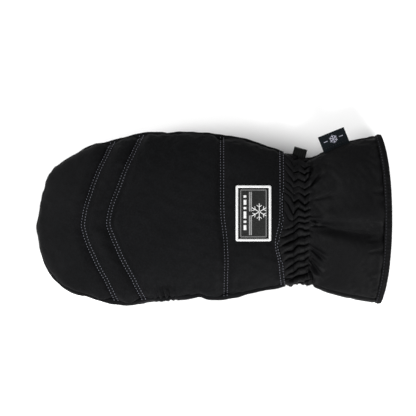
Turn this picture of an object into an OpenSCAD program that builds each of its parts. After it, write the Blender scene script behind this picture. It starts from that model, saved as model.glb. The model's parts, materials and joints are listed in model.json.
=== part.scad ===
// Ski mitten for the right hand. It lies palm down, with its thumb folded under the palm.
// X runs from the fingertips (-X) to the cuff (+X), +Y is the little-finger side, and +Z comes
// out of the back of the hand. The origin is on the surface that the mitten lies on, under the
// middle of its bounding box. Every layer is a sheet of fabric, padding or film that follows
// one outer surface at its own depth below it.

/* [Mitten] */
// Length from the fingertip to the hem
length = 320; // [300:1:340]
// Width of the hand across the knuckles
hand_w = 153; // [144:1:162]
// Height of the padded hand as it lies
hand_h = 60; // [57:1:64]
// How far the side seam on the index side sits above the edge, as an angle
seam_lift = 17; // [10:1:24]

/* [Layers] */
// Thickness of the shell fabric
shell_t = 0.9; // [0.6:0.1:1]
// Thickness of the padding in the hand
padding_t = 3.7; // [2.5:0.1:3.8]
// Thickness of the padding in the cuff
cuff_padding_t = 1.8; // [1:0.1:2.5]
// Thickness of the waterproof insert
insert_t = 0.4; // [0.3:0.1:0.5]
// Thickness of the fleece lining
lining_t = 1.4; // [1:0.1:1.5]
// Free space between two layers
gap = 0.4; // [0.35:0.05:0.45]

/* [Thumb] */
// Length from the middle of the thumb hole to the thumb's tip
thumb_len = 97; // [90:1:97]
// Width of the thumb
thumb_w = 47; // [44:1:48]
// Thickness of the thumb
thumb_t = 19.4; // [18:0.1:19.4]
// Radius of the hole that joins the thumb to the hand
thumb_hole_r = 19; // [16:0.5:19.5]
// Direction of the folded thumb, from +X
thumb_angle = 170; // [168:1:172]

/* [Badge] */
// Badge size along the mitten
badge_x = 33; // [28:1:36]
// Badge size across the mitten
badge_y = 50; // [44:1:52]
// Width of the badge's white edge
badge_edge = 2.6; // [2:0.1:3]

/* [Trim] */
// Width of the webbing of the hang loop
loop_w = 12; // [10:1:14]
// Thickness of the webbing
loop_t = 1.3; // [1:0.1:1.6]
// Length of the side label along the seam
label_l = 25; // [20:1:28]
// How far the side label stands out
label_h = 13.2; // [10:0.1:16]

/* [Hidden] */

// Scales from the drawn size to the wanted size.
kx = length / 320;
ky = hand_w / 153;
kz = hand_h / 60;
tip_x = -length / 2;
hem_x = length / 2;
// The first ring stands this far, in square-root millimetres, behind the tip.
tip_s = 0.12;
// The two sides of the outline as seen from above, [x, y].
little_side = [[-160, -12], [-150, 36], [-139, 47], [-118, 59], [-95, 67], [-63, 73.5],
    [0, 73], [24, 69], [60, 58.5], [76, 51.5], [87, 50.3], [94, 54.5], [108, 62],
    [123, 67], [140, 70.5], [160, 72.5]];
index_side = [[-160, -12], [-150, -49], [-134, -66], [-112, -74], [-80, -79.5], [-45, -76.5],
    [-15, -74], [2, -76], [30, -71], [60, -64.5], [76, -59], [84, -60], [94, -66],
    [108, -71], [130, -76], [160, -79.5]];
// The back and the palm as seen from the side, [x, z].
back_side = [[-160, 17], [-150, 32], [-135, 43], [-110, 52], [-60, 59.5], [-10, 60],
    [30, 57], [60, 49], [76, 42.5], [84, 41], [95, 43], [120, 49], [160, 52]];
palm_side = [[-160, 17], [-150, 4], [-135, 0.8], [-118, 0.9], [-90, 3], [-60, 5], [0, 7],
    [30, 8], [60, 8.5], [76, 9], [84, 9], [95, 6.5], [120, 2.8], [160, 1]];

// Seam lines on the back: each starts at a vertex [x, y] and sweeps back to both sides.
fingertip_seam = [-120, -7];
chevron_seam = [-97, -4];
back_seam_x = 7;
wrist_seam_x = 60.3;
elastic_end_x = 84;
// Depths of the layers' outer faces below the outer surface.
padding_d = shell_t + gap;
insert_d = padding_d + padding_t + gap;
lining_d = insert_d + insert_t + gap;
elastic_t = 1;
elastic_d = shell_t + gap;
wrist_lining_d = elastic_d + elastic_t + gap;
cuff_lining_d = padding_d + cuff_padding_t + gap;
cuff_wall = cuff_lining_d + 1.1;
padding_end_x = 50;
hem_w = 6;
// The palm is lifted over the thumb to this height.
thumb_roof = thumb_t + 2.4;
thumb_at = [28, -42];
// Angles round the section: 0 is the little-finger side, 90 the back, 180 the index side.
little_seam = 8;
index_seam = 180 - seam_lift;
hole_fn = 64;

// Smooth curve through a table of points.
function piece_of(x, t, i = 0) = i >= len(t) - 2 || x < t[i + 1][0] ? i : piece_of(x, t, i + 1);
function slope_at(t, i) = let (a = max(i - 1, 0), b = min(i + 1, len(t) - 1))
    (t[b][1] - t[a][1]) / (t[b][0] - t[a][0]);
function curve(x, t) = let (i = piece_of(x, t), h = t[i + 1][0] - t[i][0], u = (x - t[i][0]) / h)
    t[i][1] * (1 + 2 * u) * (1 - u) ^ 2 + slope_at(t, i) * h * u * (1 - u) ^ 2
    + t[i + 1][1] * u ^ 2 * (3 - 2 * u) + slope_at(t, i + 1) * h * u ^ 2 * (u - 1);
// A table drawn over x, read over the square root of the distance from the tip, so that the
// tip comes out round.
function rooted(t, k) = [for (p = t) [sqrt((p[0] + 160) * kx), p[1] * k]];
little_t = rooted(little_side, ky);
index_t = rooted(index_side, ky);
back_t = rooted(back_side, kz);
palm_t = rooted(palm_side, kz);
function s_of(x) = sqrt(max(x - tip_x, tip_s * tip_s));
function smooth(u) = let (c = min(max(u, 0), 1)) c * c * (3 - 2 * c);
function mix(a, b, u) = a + (b - a) * u;
function power(c, e) = sign(c) * abs(c) ^ e;

// The layers stand further apart where the palm is lifted, so that they clear each other on
// the slopes.
slope_room = 1.3;
// How much of the palm is lifted over the thumb at a place, from 0 to 1.
function lifted(x, y) = smooth((x + 120) / 50) * smooth((86 - x) / 38) * smooth((38 - y) / 40);
function soft_max(t) = (t + sqrt(t * t + 9)) / 2;
// The surface at depth d below the outside of the mitten: s along it, v round its section.
function skin(s, v, d = 0) = let (
    x = tip_x + s * s + d * exp(-s * s / 16),
    far = curve(s, little_t), near = curve(s, index_t),
    top = curve(s, back_t), low = curve(s, palm_t),
    e = mix(0.8, 0.9, smooth((x - 40) / 60)),
    inset = d * smooth(s / 3.2),
    y = (far + near) / 2 + ((far - near) / 2 - inset) * power(cos(v), e),
    z = (top + low) / 2 + ((top - low) / 2 - inset) * power(sin(v), e))
    [x, y, z + lifted(x / kx, y / ky) * soft_max(thumb_roof + slope_room * d - z)];
// The same surface on the back, by plan: w is a distance across the mitten.
function back_skin(s, w, d) = let (
    far = curve(s, little_t), near = curve(s, index_t),
    e = mix(0.8, 0.9, smooth((tip_x + s * s - 40) / 60)),
    c = power((w - (far + near) / 2) / ((far - near) / 2), 1 / e))
    skin(s, acos(min(max(c, -1), 1)), d);
// The surface of the thumb: s from 0 to 1 along it, v round its section.
thumb_back_r = 24;
function thumb_skin(s, v, d = 0) = let (
    u = -cos(180 * s), l = (thumb_len + thumb_back_r) / 2,
    side = (1 - abs(u) ^ 2.6) ^ (1 / 2.6) * (thumb_w / 2 - 2.5 * smooth(s) - d),
    thick = (1 - abs(u) ^ 4) ^ (1 / 4) * (thumb_t / 2 - d),
    x = thumb_len - l + (l - d) * u,
    y = side * power(cos(v), 0.85))
    [thumb_at[0] + x * cos(thumb_angle) - y * sin(thumb_angle),
     thumb_at[1] + x * sin(thumb_angle) + y * cos(thumb_angle),
     thumb_t / 2 + thick * power(sin(v), 0.8)];

// Angles round the section, on a grid that every layer shares. It is closer near the middle of
// the back and the palm, where the section is flattest.
quarter = 10;
function grid_angle(j) = let (q = floor(j / quarter), r = j / quarter - q)
    90 * q + 90 * (q % 2 == 0 ? 1 - (1 - r) ^ 1.2 : r ^ 1.2);
ring = [for (j = [0:4 * quarter - 1]) grid_angle(j)];
function round_from(va, vb) = concat([va],
    [for (j = [0:6 * quarter]) let (v = grid_angle(j)) if (v > va + 2 && v < vb - 2) v], [vb]);

// A closed sheet between two depths of a surface f. place(i, v) is its i-th distance along f at
// angle v, and vs are its angles. closed joins it into a tube, and cap closes the tube's start.
module sheet(f, place, ns, vs, outer, inner, closed = false, cap = false) {
    n = len(vs);
    nv = closed ? n : n - 1;
    grid = [for (k = [0, 1], i = [0:ns], v = vs)
        let (s = place(i, v)) f(s, v, k == 0 ? outer(s) : inner(s))];
    size = (ns + 1) * n;
    function id(k, i, j) = k * size + i * n + j % n;
    ends = [for (k = [0, 1]) if (cap) [for (c = [0:2])
        [for (j = [0:n - 1]) grid[id(k, 0, j)][c]] * [for (j = [0:n - 1]) 1] / n]];
    function quad(a, b, c, d) = [[a, b, c], [a, c, d]];
    faces = [for (i = [0:ns - 1], j = [0:nv - 1], q = concat(
        quad(id(0, i, j), id(0, i + 1, j), id(0, i + 1, j + 1), id(0, i, j + 1)),
        quad(id(1, i, j), id(1, i, j + 1), id(1, i + 1, j + 1), id(1, i + 1, j)))) q];
    rims = closed ? [] : [for (i = [0:ns - 1], q = concat(
        quad(id(0, i + 1, 0), id(0, i, 0), id(1, i, 0), id(1, i + 1, 0)),
        quad(id(0, i, nv), id(0, i + 1, nv), id(1, i + 1, nv), id(1, i, nv)))) q];
    starts = [for (j = [0:nv - 1], q = cap
        ? [[id(0, 0, j), id(0, 0, j + 1), 2 * size], [id(1, 0, j + 1), id(1, 0, j), 2 * size + 1]]
        : quad(id(0, 0, j), id(0, 0, j + 1), id(1, 0, j + 1), id(1, 0, j))) q];
    stops = [for (j = [0:nv - 1], q =
        quad(id(0, ns, j + 1), id(0, ns, j), id(1, ns, j), id(1, ns, j + 1))) q];
    polyhedron(concat(grid, ends), concat(faces, rims, starts, stops), convexity = 10);
}

// Seam lines across the back, as the distance s at which a line at angle v meets them.
function seam_s(line, v, s, n = 6) = n == 0 ? s : seam_s(line, v, s_of(line(skin(s, v)[1])), n - 1);
function swept(seam, y, e, up, down) = let (rise = y > seam[1] ? up : down)
    kx * (seam[0] + rise * abs(y / ky - seam[1]) ^ e);
function fingertip_line(y) = swept(fingertip_seam, y, 1.7, 0.02, 0.0282);
function chevron_line(y) = swept(chevron_seam, y, 1.5, 0.0455, 0.0597);
function back_line(y) = kx * (back_seam_x + 3.4 * smooth((6 - y / ky) / 35));
function wrist_line(y) = kx * (wrist_seam_x - 3.2 * exp(-((y / ky + 26) / 14) ^ 2));
function hem_line(y) = hem_x - 8.5 * kx * ((y + 3) / 76 / ky) ^ 2;
function edge(line, x0) = function(v) seam_s(line, v, s_of(x0));
function at(x) = function(v) s_of(x * kx);
function depth(d) = function(s) d;
seam_gap = 0.2;
function shifted(line, dx) = function(y) line(y) + dx;

fingertip_edge = edge(shifted(function(y) fingertip_line(y), -seam_gap), -110);
chevron_start = edge(shifted(function(y) fingertip_line(y), seam_gap), -110);
chevron_edge = edge(shifted(function(y) chevron_line(y), -seam_gap), -90);
back_start = edge(shifted(function(y) chevron_line(y), seam_gap), -90);
back_edge = edge(shifted(function(y) back_line(y), -seam_gap), 7);
wrist_start = edge(shifted(function(y) back_line(y), seam_gap), 7);
wrist_edge = edge(shifted(function(y) wrist_line(y), -seam_gap), 60);
shirring_start = edge(shifted(function(y) wrist_line(y), seam_gap), 60);
hem_start = edge(shifted(function(y) hem_line(y), -hem_w), 150);
hem_inner = edge(shifted(function(y) hem_line(y), -hem_w - seam_gap), 150);
hem_end = edge(function(y) hem_line(y), 158);
tip_edge = function(v) tip_s;
skin_f = function(s, v, d) skin(s, v, d);
thumb_f = function(s, v, d) thumb_skin(s, v, d);
// The places along a sheet: even steps between two edges, or the stations from the tip and then
// one last step to an edge.
function even(from, to, n) = function(i, v) mix(from(v), to(v), i / n);
station_x = [-157, -152, -145, -136, -125, -112, -101, -91, -81, -70, -55, -36, -16, 4, 22, 38,
    padding_end_x];
stations = [tip_x + tip_s ^ 2, for (x = station_x) x * kx];
last_station = len(stations) - 1;
function from_tip(to) = function(i, v) i > last_station ? to(v) : s_of(stations[i]);
back_v = round_from(little_seam, index_seam);
side_gap = 1.6;
palm_v = round_from(index_seam + side_gap, 360 + little_seam - side_gap);

// A panel of the shell on the back, between two seam lines.
module back_fabric(from, to, ns) {
    sheet(skin_f, even(from, to, ns), ns, back_v, depth(0), depth(shell_t));
}
// A hole through the layers between hand and thumb.
hole_room = 0.6;
module thumb_hole(low, high) {
    translate([thumb_at[0], thumb_at[1], low])
        cylinder(h = high - low, r = thumb_hole_r + hole_room, $fn = hole_fn);
}
hole_top = 36;

module fingertip_panel() { color("#1c1c1e") back_fabric(tip_edge, fingertip_edge, 12); }
module chevron_panel() { color("#1c1c1e") back_fabric(chevron_start, chevron_edge, 3); }
module back_panel() { color("#1c1c1e") back_fabric(back_start, back_edge, 6); }
module wrist_panel() { color("#1c1c1e") back_fabric(wrist_start, wrist_edge, 4); }

module palm_panel() {
    color("#18181a") difference() {
        sheet(skin_f, from_tip(wrist_edge), last_station + 1, palm_v, depth(0), depth(shell_t));
        thumb_hole(-1, hole_top);
    }
}
// The wear-resistant patch on the palm, cut round the thumb.
patch_t = 0.85;
patch_from = 7;
patch_to = last_station - 1;
module palm_grip_patch() {
    color("#232325") difference() {
        sheet(skin_f, function(i, v) s_of(stations[i + patch_from]), patch_to - patch_from,
            round_from(207, 324), depth(-patch_t - gap), depth(-gap));
        thumb_hole(-1, hole_top);
    }
}
module back_padding() {
    color("white") sheet(skin_f, from_tip(tip_edge), last_station, round_from(little_seam, index_seam),
        depth(padding_d), depth(padding_d + padding_t));
}
module palm_padding() {
    color("white") difference() {
        sheet(skin_f, from_tip(tip_edge), last_station,
            round_from(index_seam + 4, 360 + little_seam - 4),
            depth(padding_d), depth(padding_d + padding_t));
        thumb_hole(-1, hole_top);
    }
}
module waterproof_insert() {
    color("#8fa8b8") difference() {
        sheet(skin_f, from_tip(tip_edge), last_station, ring, depth(insert_d), depth(insert_d + insert_t),
            closed = true, cap = true);
        thumb_hole(-1, hole_top);
    }
}
// The lining comes up to the wrist's thinner wall past the end of the padding.
function lining_at(s, t) = mix(lining_d, wrist_lining_d,
    smooth((tip_x + s * s - padding_end_x * kx) / (61 - padding_end_x) / kx)) + t;
module hand_lining() {
    color("#2b2b2e") difference() {
        sheet(skin_f, from_tip(at(61)), last_station + 1, ring, function(s) lining_at(s, 0),
            function(s) lining_at(s, lining_t), closed = true, cap = true);
        thumb_hole(-1, hole_top);
    }
}
// The sewn collar between the palm's hole and the thumb's.
collar_t = 1.2;
module thumb_collar() {
    color("#232325") translate([thumb_at[0], thumb_at[1], thumb_t - 3])
        rotate_extrude($fn = hole_fn) translate([thumb_hole_r - collar_t, 0]) square([collar_t, 14.5]);
}

// A tube of one layer between two places along the mitten.
module tube(from, to, ns, outer, t) {
    sheet(skin_f, even(from, to, ns), ns, ring, depth(outer), depth(outer + t), closed = true);
}
module wrist_shirring() { color("#1c1c1e") tube(shirring_start, at(elastic_end_x), 3, 0, shell_t); }
module wrist_elastic() { color("#38383a") tube(at(71.5), at(83.5), 2, elastic_d, elastic_t); }
module wrist_lining() { color("#2b2b2e") tube(at(61.5), at(elastic_end_x), 3, wrist_lining_d, lining_t); }

// A rectangle of the badge, centred on it, between two depths. It runs along x from x0 to x1
// and across from y0 to y1.
badge_at = [34.8, 1.9];
badge_f = function(s, w, d) back_skin(s, w, d);
module badge_field(x0, x1, y0, y1, outer, inner, nx = 6, ny = 10) {
    sheet(badge_f, even(at(badge_at[0] + x0), at(badge_at[0] + x1), nx), nx,
        [for (j = [0:ny]) badge_at[1] + mix(y1, y0, j / ny)], depth(outer), depth(inner));
}
badge_low = -0.3;
badge_face = -1.3;
base_hx = badge_x / 2 - badge_edge;
base_hy = badge_y / 2 - badge_edge;
base_room = 0.7;
module badge_base() {
    hx = base_hx - base_room;
    hy = base_hy - base_room;
    color("#2a2a2a") badge_field(-hx, hx, -hy, hy, badge_face, badge_low);
}
module badge_edging() {
    color("white") difference() {
        badge_field(-badge_x / 2, badge_x / 2, -badge_y / 2, badge_y / 2, badge_face - 0.7, badge_low);
        translate([badge_at[0] * kx - base_hx, badge_at[1] - base_hy, hand_h / 2])
            cube([2 * base_hx, 2 * base_hy, hand_h]);
    }
}
// Raised marks on the badge stand just above its face.
mark_low = badge_face - 0.1;
mark_face = mark_low - 0.4;
module mark(x0, x1, y0, y1, nx = 1, ny = 1) { badge_field(x0, x1, y0, y1, mark_face, mark_low, nx, ny); }
module badge_frame() {
    hx = base_hx - 1.1;
    hy = base_hy - 1.1;
    line = 0.9;
    color("#7a7a7a") {
        mark(-hx, -hx + line, -hy, hy, ny = 10);
        mark(hx - line, hx, -hy, hy, ny = 10);
        mark(-hx + line + 0.1, hx - line - 0.1, -hy, -hy + line, nx = 4);
        mark(-hx + line + 0.1, hx - line - 0.1, hy - line, hy, nx = 4);
    }
}
bars_x = -5.2;
module badge_bars() {
    color("#9a9a9a") for (x = [bars_x, bars_x + 1.5], y = [-18.5, 2])
        mark(x, x + 1.1, y, y + 16.5, ny = 5);
}
// The emblem is a six-armed snow crystal, with a row of dashes along the other side.
crystal_r = 5.8;
crystal_x = 5.6;
module snow_crystal() {
    for (k = [0:5]) rotate(60 * k) {
        translate([-0.45, 0]) square([0.9, crystal_r]);
        for (e = [-1, 1]) translate([0, crystal_r * 0.5]) rotate(e * 55) translate([-0.35, 0])
            square([0.7, crystal_r * 0.36]);
    }
}
function badge_z(x) = back_skin(s_of((badge_at[0] + x) * kx), badge_at[1], mark_low - 0.1)[2];
module badge_emblem() {
    slope = atan((badge_z(crystal_x + 1) - badge_z(crystal_x - 1)) / 2 / kx);
    color("white") {
        translate([(badge_at[0] + crystal_x) * kx, badge_at[1], badge_z(crystal_x)]) rotate([0, -slope, 0])
            linear_extrude(0.4) rotate(90) snow_crystal();
        for (i = [0:10]) mark(-9.9, -7.9, -17 + 3.2 * i, -15.2 + 3.2 * i);
    }
}

// The thumb lies along its own axis. Its shell is two halves, and each layer inside them is a
// closed pod that the thumb hole opens.
thumb_tip = 0.003;
module thumb_fabric(va, vb) {
    sheet(thumb_f, even(depth(thumb_tip), depth(1 - thumb_tip), 12), 12,
        [for (j = [0:10]) mix(va, vb, j / 10)], depth(0), depth(shell_t));
}
module pod(d) {
    n = 12;
    sides = 20;
    grid = [for (i = [1:n - 1], j = [0:sides - 1]) thumb_skin(i / n, j * 360 / sides, d)];
    tips = [thumb_skin(0, 0, d), thumb_skin(1, 0, d)];
    function id(i, j) = i * sides + j % sides;
    tip_id = (n - 1) * sides;
    walls = [for (i = [0:n - 3], j = [0:sides - 1], q = [
        [id(i, j), id(i + 1, j), id(i + 1, j + 1)], [id(i, j), id(i + 1, j + 1), id(i, j + 1)]]) q];
    closing = [for (j = [0:sides - 1], q = [
        [id(0, j), id(0, j + 1), tip_id], [id(n - 2, j + 1), id(n - 2, j), tip_id + 1]]) q];
    polyhedron(concat(grid, tips), concat(walls, closing), convexity = 4);
}
module thumb_layer(d, t) {
    difference() {
        pod(d);
        pod(d + t);
        thumb_hole(thumb_t / 2, hole_top);
    }
}
thumb_padding_t = 2;
thumb_insert_d = padding_d + thumb_padding_t + gap;
thumb_lining_d = thumb_insert_d + insert_t + gap;
module thumb_grip_panel() {
    color("#232325") difference() {
        thumb_fabric(0.6, 179.4);
        thumb_hole(thumb_t / 2, hole_top);
    }
}
module thumb_back_panel() { color("#1c1c1e") thumb_fabric(180.6, 359.4); }
module thumb_padding() { color("white") thumb_layer(padding_d, thumb_padding_t); }
module thumb_insert() { color("#8fa8b8") thumb_layer(thumb_insert_d, insert_t); }
module thumb_lining() { color("#2b2b2e") thumb_layer(thumb_lining_d, 1); }

cuff_start = at(elastic_end_x + 0.4);
cuff_n = 6;
module cuff_fabric(vs) {
    sheet(skin_f, even(cuff_start, hem_inner, cuff_n), cuff_n, vs, depth(0), depth(shell_t));
}
module cuff_back_panel() { color("#1c1c1e") cuff_fabric(back_v); }
module cuff_palm_panel() { color("#1c1c1e") cuff_fabric(palm_v); }
module cuff_padding() {
    color("white") tube(cuff_start, hem_inner, cuff_n, padding_d, cuff_padding_t);
}
module cuff_lining() { color("#2b2b2e") tube(cuff_start, hem_inner, cuff_n, cuff_lining_d, 1.1); }
module hem_binding() { color("#1a1a1c") tube(hem_start, hem_end, 2, -0.5, cuff_wall + 0.9); }

// Webbing folded into a loop and sewn into the little-finger side of the wrist.
loop_at = [75.6, 53.1, 26];
loop_turn = -16;
loop_out = 8.5;
loop_high = 9;
module hang_loop() {
    color("#1a1d1c") translate(loop_at) rotate(loop_turn) rotate([90, 0, 90])
        translate([0, 0, -loop_w / 2]) linear_extrude(loop_w) difference() {
            hull() {
                translate([loop_out - loop_high / 2, 0]) circle(d = loop_high, $fn = 32);
                translate([0, -loop_high / 2]) square([1, loop_high]);
            }
            hull() {
                translate([loop_out - loop_high / 2, 0]) circle(d = loop_high - 2 * loop_t, $fn = 32);
                translate([loop_t, -loop_high / 2 + loop_t]) square([1, loop_high - 2 * loop_t]);
            }
        }
}
// A woven label folded in half, with both ends in the cuff's side seam.
label_at = [109.6, 62.6, 29];
label_turn = 22;
label_t = 0.5;
module side_label() {
    color("#14181c") translate(label_at) rotate(label_turn) rotate([90, 0, 90])
        translate([0, 0, -label_l / 2]) linear_extrude(label_l) difference() {
            hull() {
                translate([label_h - 1, 0]) circle(r = 1, $fn = 24);
                translate([0, -1]) square([1, 2]);
            }
            translate([-1, -1 + label_t]) square([label_h, 2 - 2 * label_t]);
        }
}

fingertip_panel();
chevron_panel();
back_panel();
wrist_panel();
palm_panel();
palm_grip_patch();
back_padding();
palm_padding();
waterproof_insert();
hand_lining();
thumb_collar();
wrist_shirring();
wrist_elastic();
wrist_lining();
badge_base();
badge_edging();
badge_frame();
badge_bars();
badge_emblem();
thumb_grip_panel();
thumb_back_panel();
thumb_padding();
thumb_insert();
thumb_lining();
cuff_back_panel();
cuff_palm_panel();
cuff_padding();
cuff_lining();
hem_binding();
hang_loop();
side_label();
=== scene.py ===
"""A ski mitten: padded panels, a gathered wrist, a flared cuff, a badge and its sewn detail.

Lengths are in millimetres until a mesh is made. The outer surface is read off the CAD shell. A
place on it is s, the square root of the distance from the fingertip, and an angle round the
section: 0 is the little-finger side, a quarter turn is the back of the hand.
"""
import json
import math

import bpy
import numpy as np
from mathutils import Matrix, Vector
from mathutils.bvhtree import BVHTree


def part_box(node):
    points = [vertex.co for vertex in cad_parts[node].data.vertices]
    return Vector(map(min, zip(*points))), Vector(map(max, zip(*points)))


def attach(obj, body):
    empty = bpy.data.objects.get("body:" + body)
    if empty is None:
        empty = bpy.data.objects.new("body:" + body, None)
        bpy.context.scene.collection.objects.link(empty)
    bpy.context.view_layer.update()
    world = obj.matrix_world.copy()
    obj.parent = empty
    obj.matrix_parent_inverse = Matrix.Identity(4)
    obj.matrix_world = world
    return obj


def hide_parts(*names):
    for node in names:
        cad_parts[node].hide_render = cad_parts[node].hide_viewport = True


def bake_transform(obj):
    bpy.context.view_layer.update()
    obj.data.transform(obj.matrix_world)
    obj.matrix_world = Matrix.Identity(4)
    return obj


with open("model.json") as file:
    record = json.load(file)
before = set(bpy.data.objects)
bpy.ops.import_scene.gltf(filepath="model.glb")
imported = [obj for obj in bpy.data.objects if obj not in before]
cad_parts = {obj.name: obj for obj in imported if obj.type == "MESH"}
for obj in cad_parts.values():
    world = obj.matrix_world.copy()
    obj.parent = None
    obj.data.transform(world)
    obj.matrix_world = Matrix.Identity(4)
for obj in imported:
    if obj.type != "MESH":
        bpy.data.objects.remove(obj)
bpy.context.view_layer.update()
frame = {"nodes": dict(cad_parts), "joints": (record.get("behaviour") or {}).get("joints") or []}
MM = 0.001
TURN = 2 * math.pi
JOINTS = {j["name"]: j for j in frame["joints"]}


def node_box(name):
    """A CAD node's lowest and highest corner, in millimetres."""
    low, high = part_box(name)
    return np.array(low) / MM, np.array(high) / MM


# ---------------------------------------------------------------- numbers

PANEL_DEPTH = 4.7       # shell and padding of the hand
CUFF_DEPTH = 3.3        # shell and padding of the cuff
LINING_DEPTH = 3.6      # outer face of the lining at the wrist and in the cuff
LINING_T = 1.0
WRIST_SHIFT = 1.9       # the gathers start this far past the CAD seam
STITCH_PITCH = 2.65
STITCH_LONG = 1.3
STITCH_WIDE = 0.72
HEM_WIDE = 6.0
HEM_BACK = 1.2          # how far the rolled hem stays inside the CAD band's end
TIP_S = 0.06            # the s at which the panels start at the fingertip
FLOOR_GAP = 0.15        # the palm side and the cuff stay this far off the floor
FLOOR_WALL = 0.8        # and their inner face this far above the outer
HAND_CELL = 1.25        # cell of the back's mesh
PALM_CELL = 1.5
HAND_ROUND = 176        # length over the back between the side seams
FOLD_PITCH = 6.75       # of the gathers
FLEX_FROM = 62.4        # the fabric starts to bend here at the wrist
WRIST_Z = 26.0
PATCH_MARGIN = 0.85     # angle between a side seam and the patch
THUMB_HOLE = 18.5       # radius of the palm's opening
EDGING = 2.3            # width of the badge's rim

# ---------------------------------------------------------------- small tools


def smooth(u):
    u = np.clip(u, 0, 1)
    return u * u * (3 - 2 * u)


def bump(x, centre, width):
    return np.exp(-(((x - centre) / width) ** 2))


def mix(a, b, u):
    return a + (b - a) * u


def blurred(values, sigma, axis=0, wrap=False):
    """A Gaussian blur along one axis. sigma is in cells."""
    reach = max(1, int(3 * sigma))
    weights = np.exp(-0.5 * (np.arange(-reach, reach + 1) / sigma) ** 2)
    weights /= weights.sum()
    mode = "wrap" if wrap else "edge"
    pads = [(0, 0)] * values.ndim
    pads[axis] = (reach, reach)
    padded = np.pad(values, pads, mode=mode)
    out = np.zeros(values.shape)
    n = values.shape[axis]
    for k, w in enumerate(weights):
        out += w * np.take(padded, np.arange(k, k + n), axis=axis)
    return out


def waves(seed, low, high, count=28):
    """A smooth random field over points: a sum of plane waves between two wavelengths."""
    rng = np.random.default_rng(seed)
    direction = rng.normal(size=(count, 3))
    direction /= np.linalg.norm(direction, axis=1)[:, None]
    length = np.exp(rng.uniform(math.log(low), math.log(high), count))
    phase = rng.uniform(0, TURN, count)

    def field(points):
        total = np.zeros(points.shape[:-1])
        for d, l, p in zip(direction, length, phase):
            total += np.sin(points @ d * (TURN / l) + p)
        return total * math.sqrt(2 / count)

    return field


def cubic(values, at, axis, wrap=False):
    """The cells and Catmull-Rom weights that read a grid along one axis at fractional places."""
    n = values.shape[axis]
    i = np.floor(at).astype(int)
    if not wrap:
        i = np.clip(i, 0, n - 2)
    u = at - i
    cells = [(i + k) % n if wrap else np.clip(i + k, 0, n - 1) for k in (-1, 0, 1, 2)]
    weights = (
        0.5 * (-u + 2 * u**2 - u**3),
        0.5 * (2 - 5 * u**2 + 3 * u**3),
        0.5 * (u + 4 * u**2 - 3 * u**3),
        0.5 * (-(u**2) + u**3),
    )
    return list(zip(cells, weights))


def read_grid(grid, row, col, wrap=False):
    """Reads grid[rows, cols, ...] at fractional rows and columns."""
    out = 0
    columns = cubic(grid, col, 1, wrap)
    for r, a in cubic(grid, row, 0):
        for c, b in columns:
            w = a * b
            out = out + grid[r, c] * (w[..., None] if grid.ndim == 3 else w)
    return out


def over_grid(rows, cols, wrap=False):
    """Shares from 0 to 1 along a grid's rows and columns. A wrapped grid stops short of 1."""
    u = np.linspace(0, 1, rows)[:, None] + np.zeros(cols)
    v = np.arange(cols) / cols if wrap else np.linspace(0, 1, cols)
    return u, v[None] + np.zeros_like(u)


# ---------------------------------------------------------------- the skin of the CAD shell

BACK_NODES = ("fingertip_panel", "chevron_panel", "back_panel", "wrist_panel", "cuff_back_panel")
PALM_NODES = ("palm_panel", "cuff_palm_panel")
SHELL_NODES = BACK_NODES + PALM_NODES + ("wrist_shirring",)


def surface(*pieces):
    """The faces of several pieces, in millimetres, for rays."""
    verts, faces = [], []
    for piece in pieces:
        base = len(verts)
        verts += [v.co / MM for v in piece.data.vertices]
        faces += [[base + i for i in p.vertices] for p in piece.data.polygons]
    return BVHTree.FromPolygons(verts, faces)


class Shell:
    """The CAD nodes that make the outside, for rays."""

    def __init__(self, names):
        nodes = [frame["nodes"][name] for name in names]
        self.tree = surface(*nodes)
        self.owner = [name for name, node in zip(names, nodes) for _ in node.data.polygons]

    def hit(self, origin, direction):
        """Where a ray first meets the shell, and whose face that is."""
        place, _, index, _ = self.tree.ray_cast(Vector(origin), Vector(direction))
        return (None, None) if place is None else (np.array(place), self.owner[index])


shell = Shell(SHELL_NODES)
TIP_X = node_box("fingertip_panel")[0][0]
END_X = node_box("hem_binding")[1][0]
READ_TO = node_box("hem_binding")[0][0] - 0.6
FAR = 400.0


def s_of(x):
    return np.sqrt(np.maximum(x - TIP_X, 1e-6))


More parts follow.
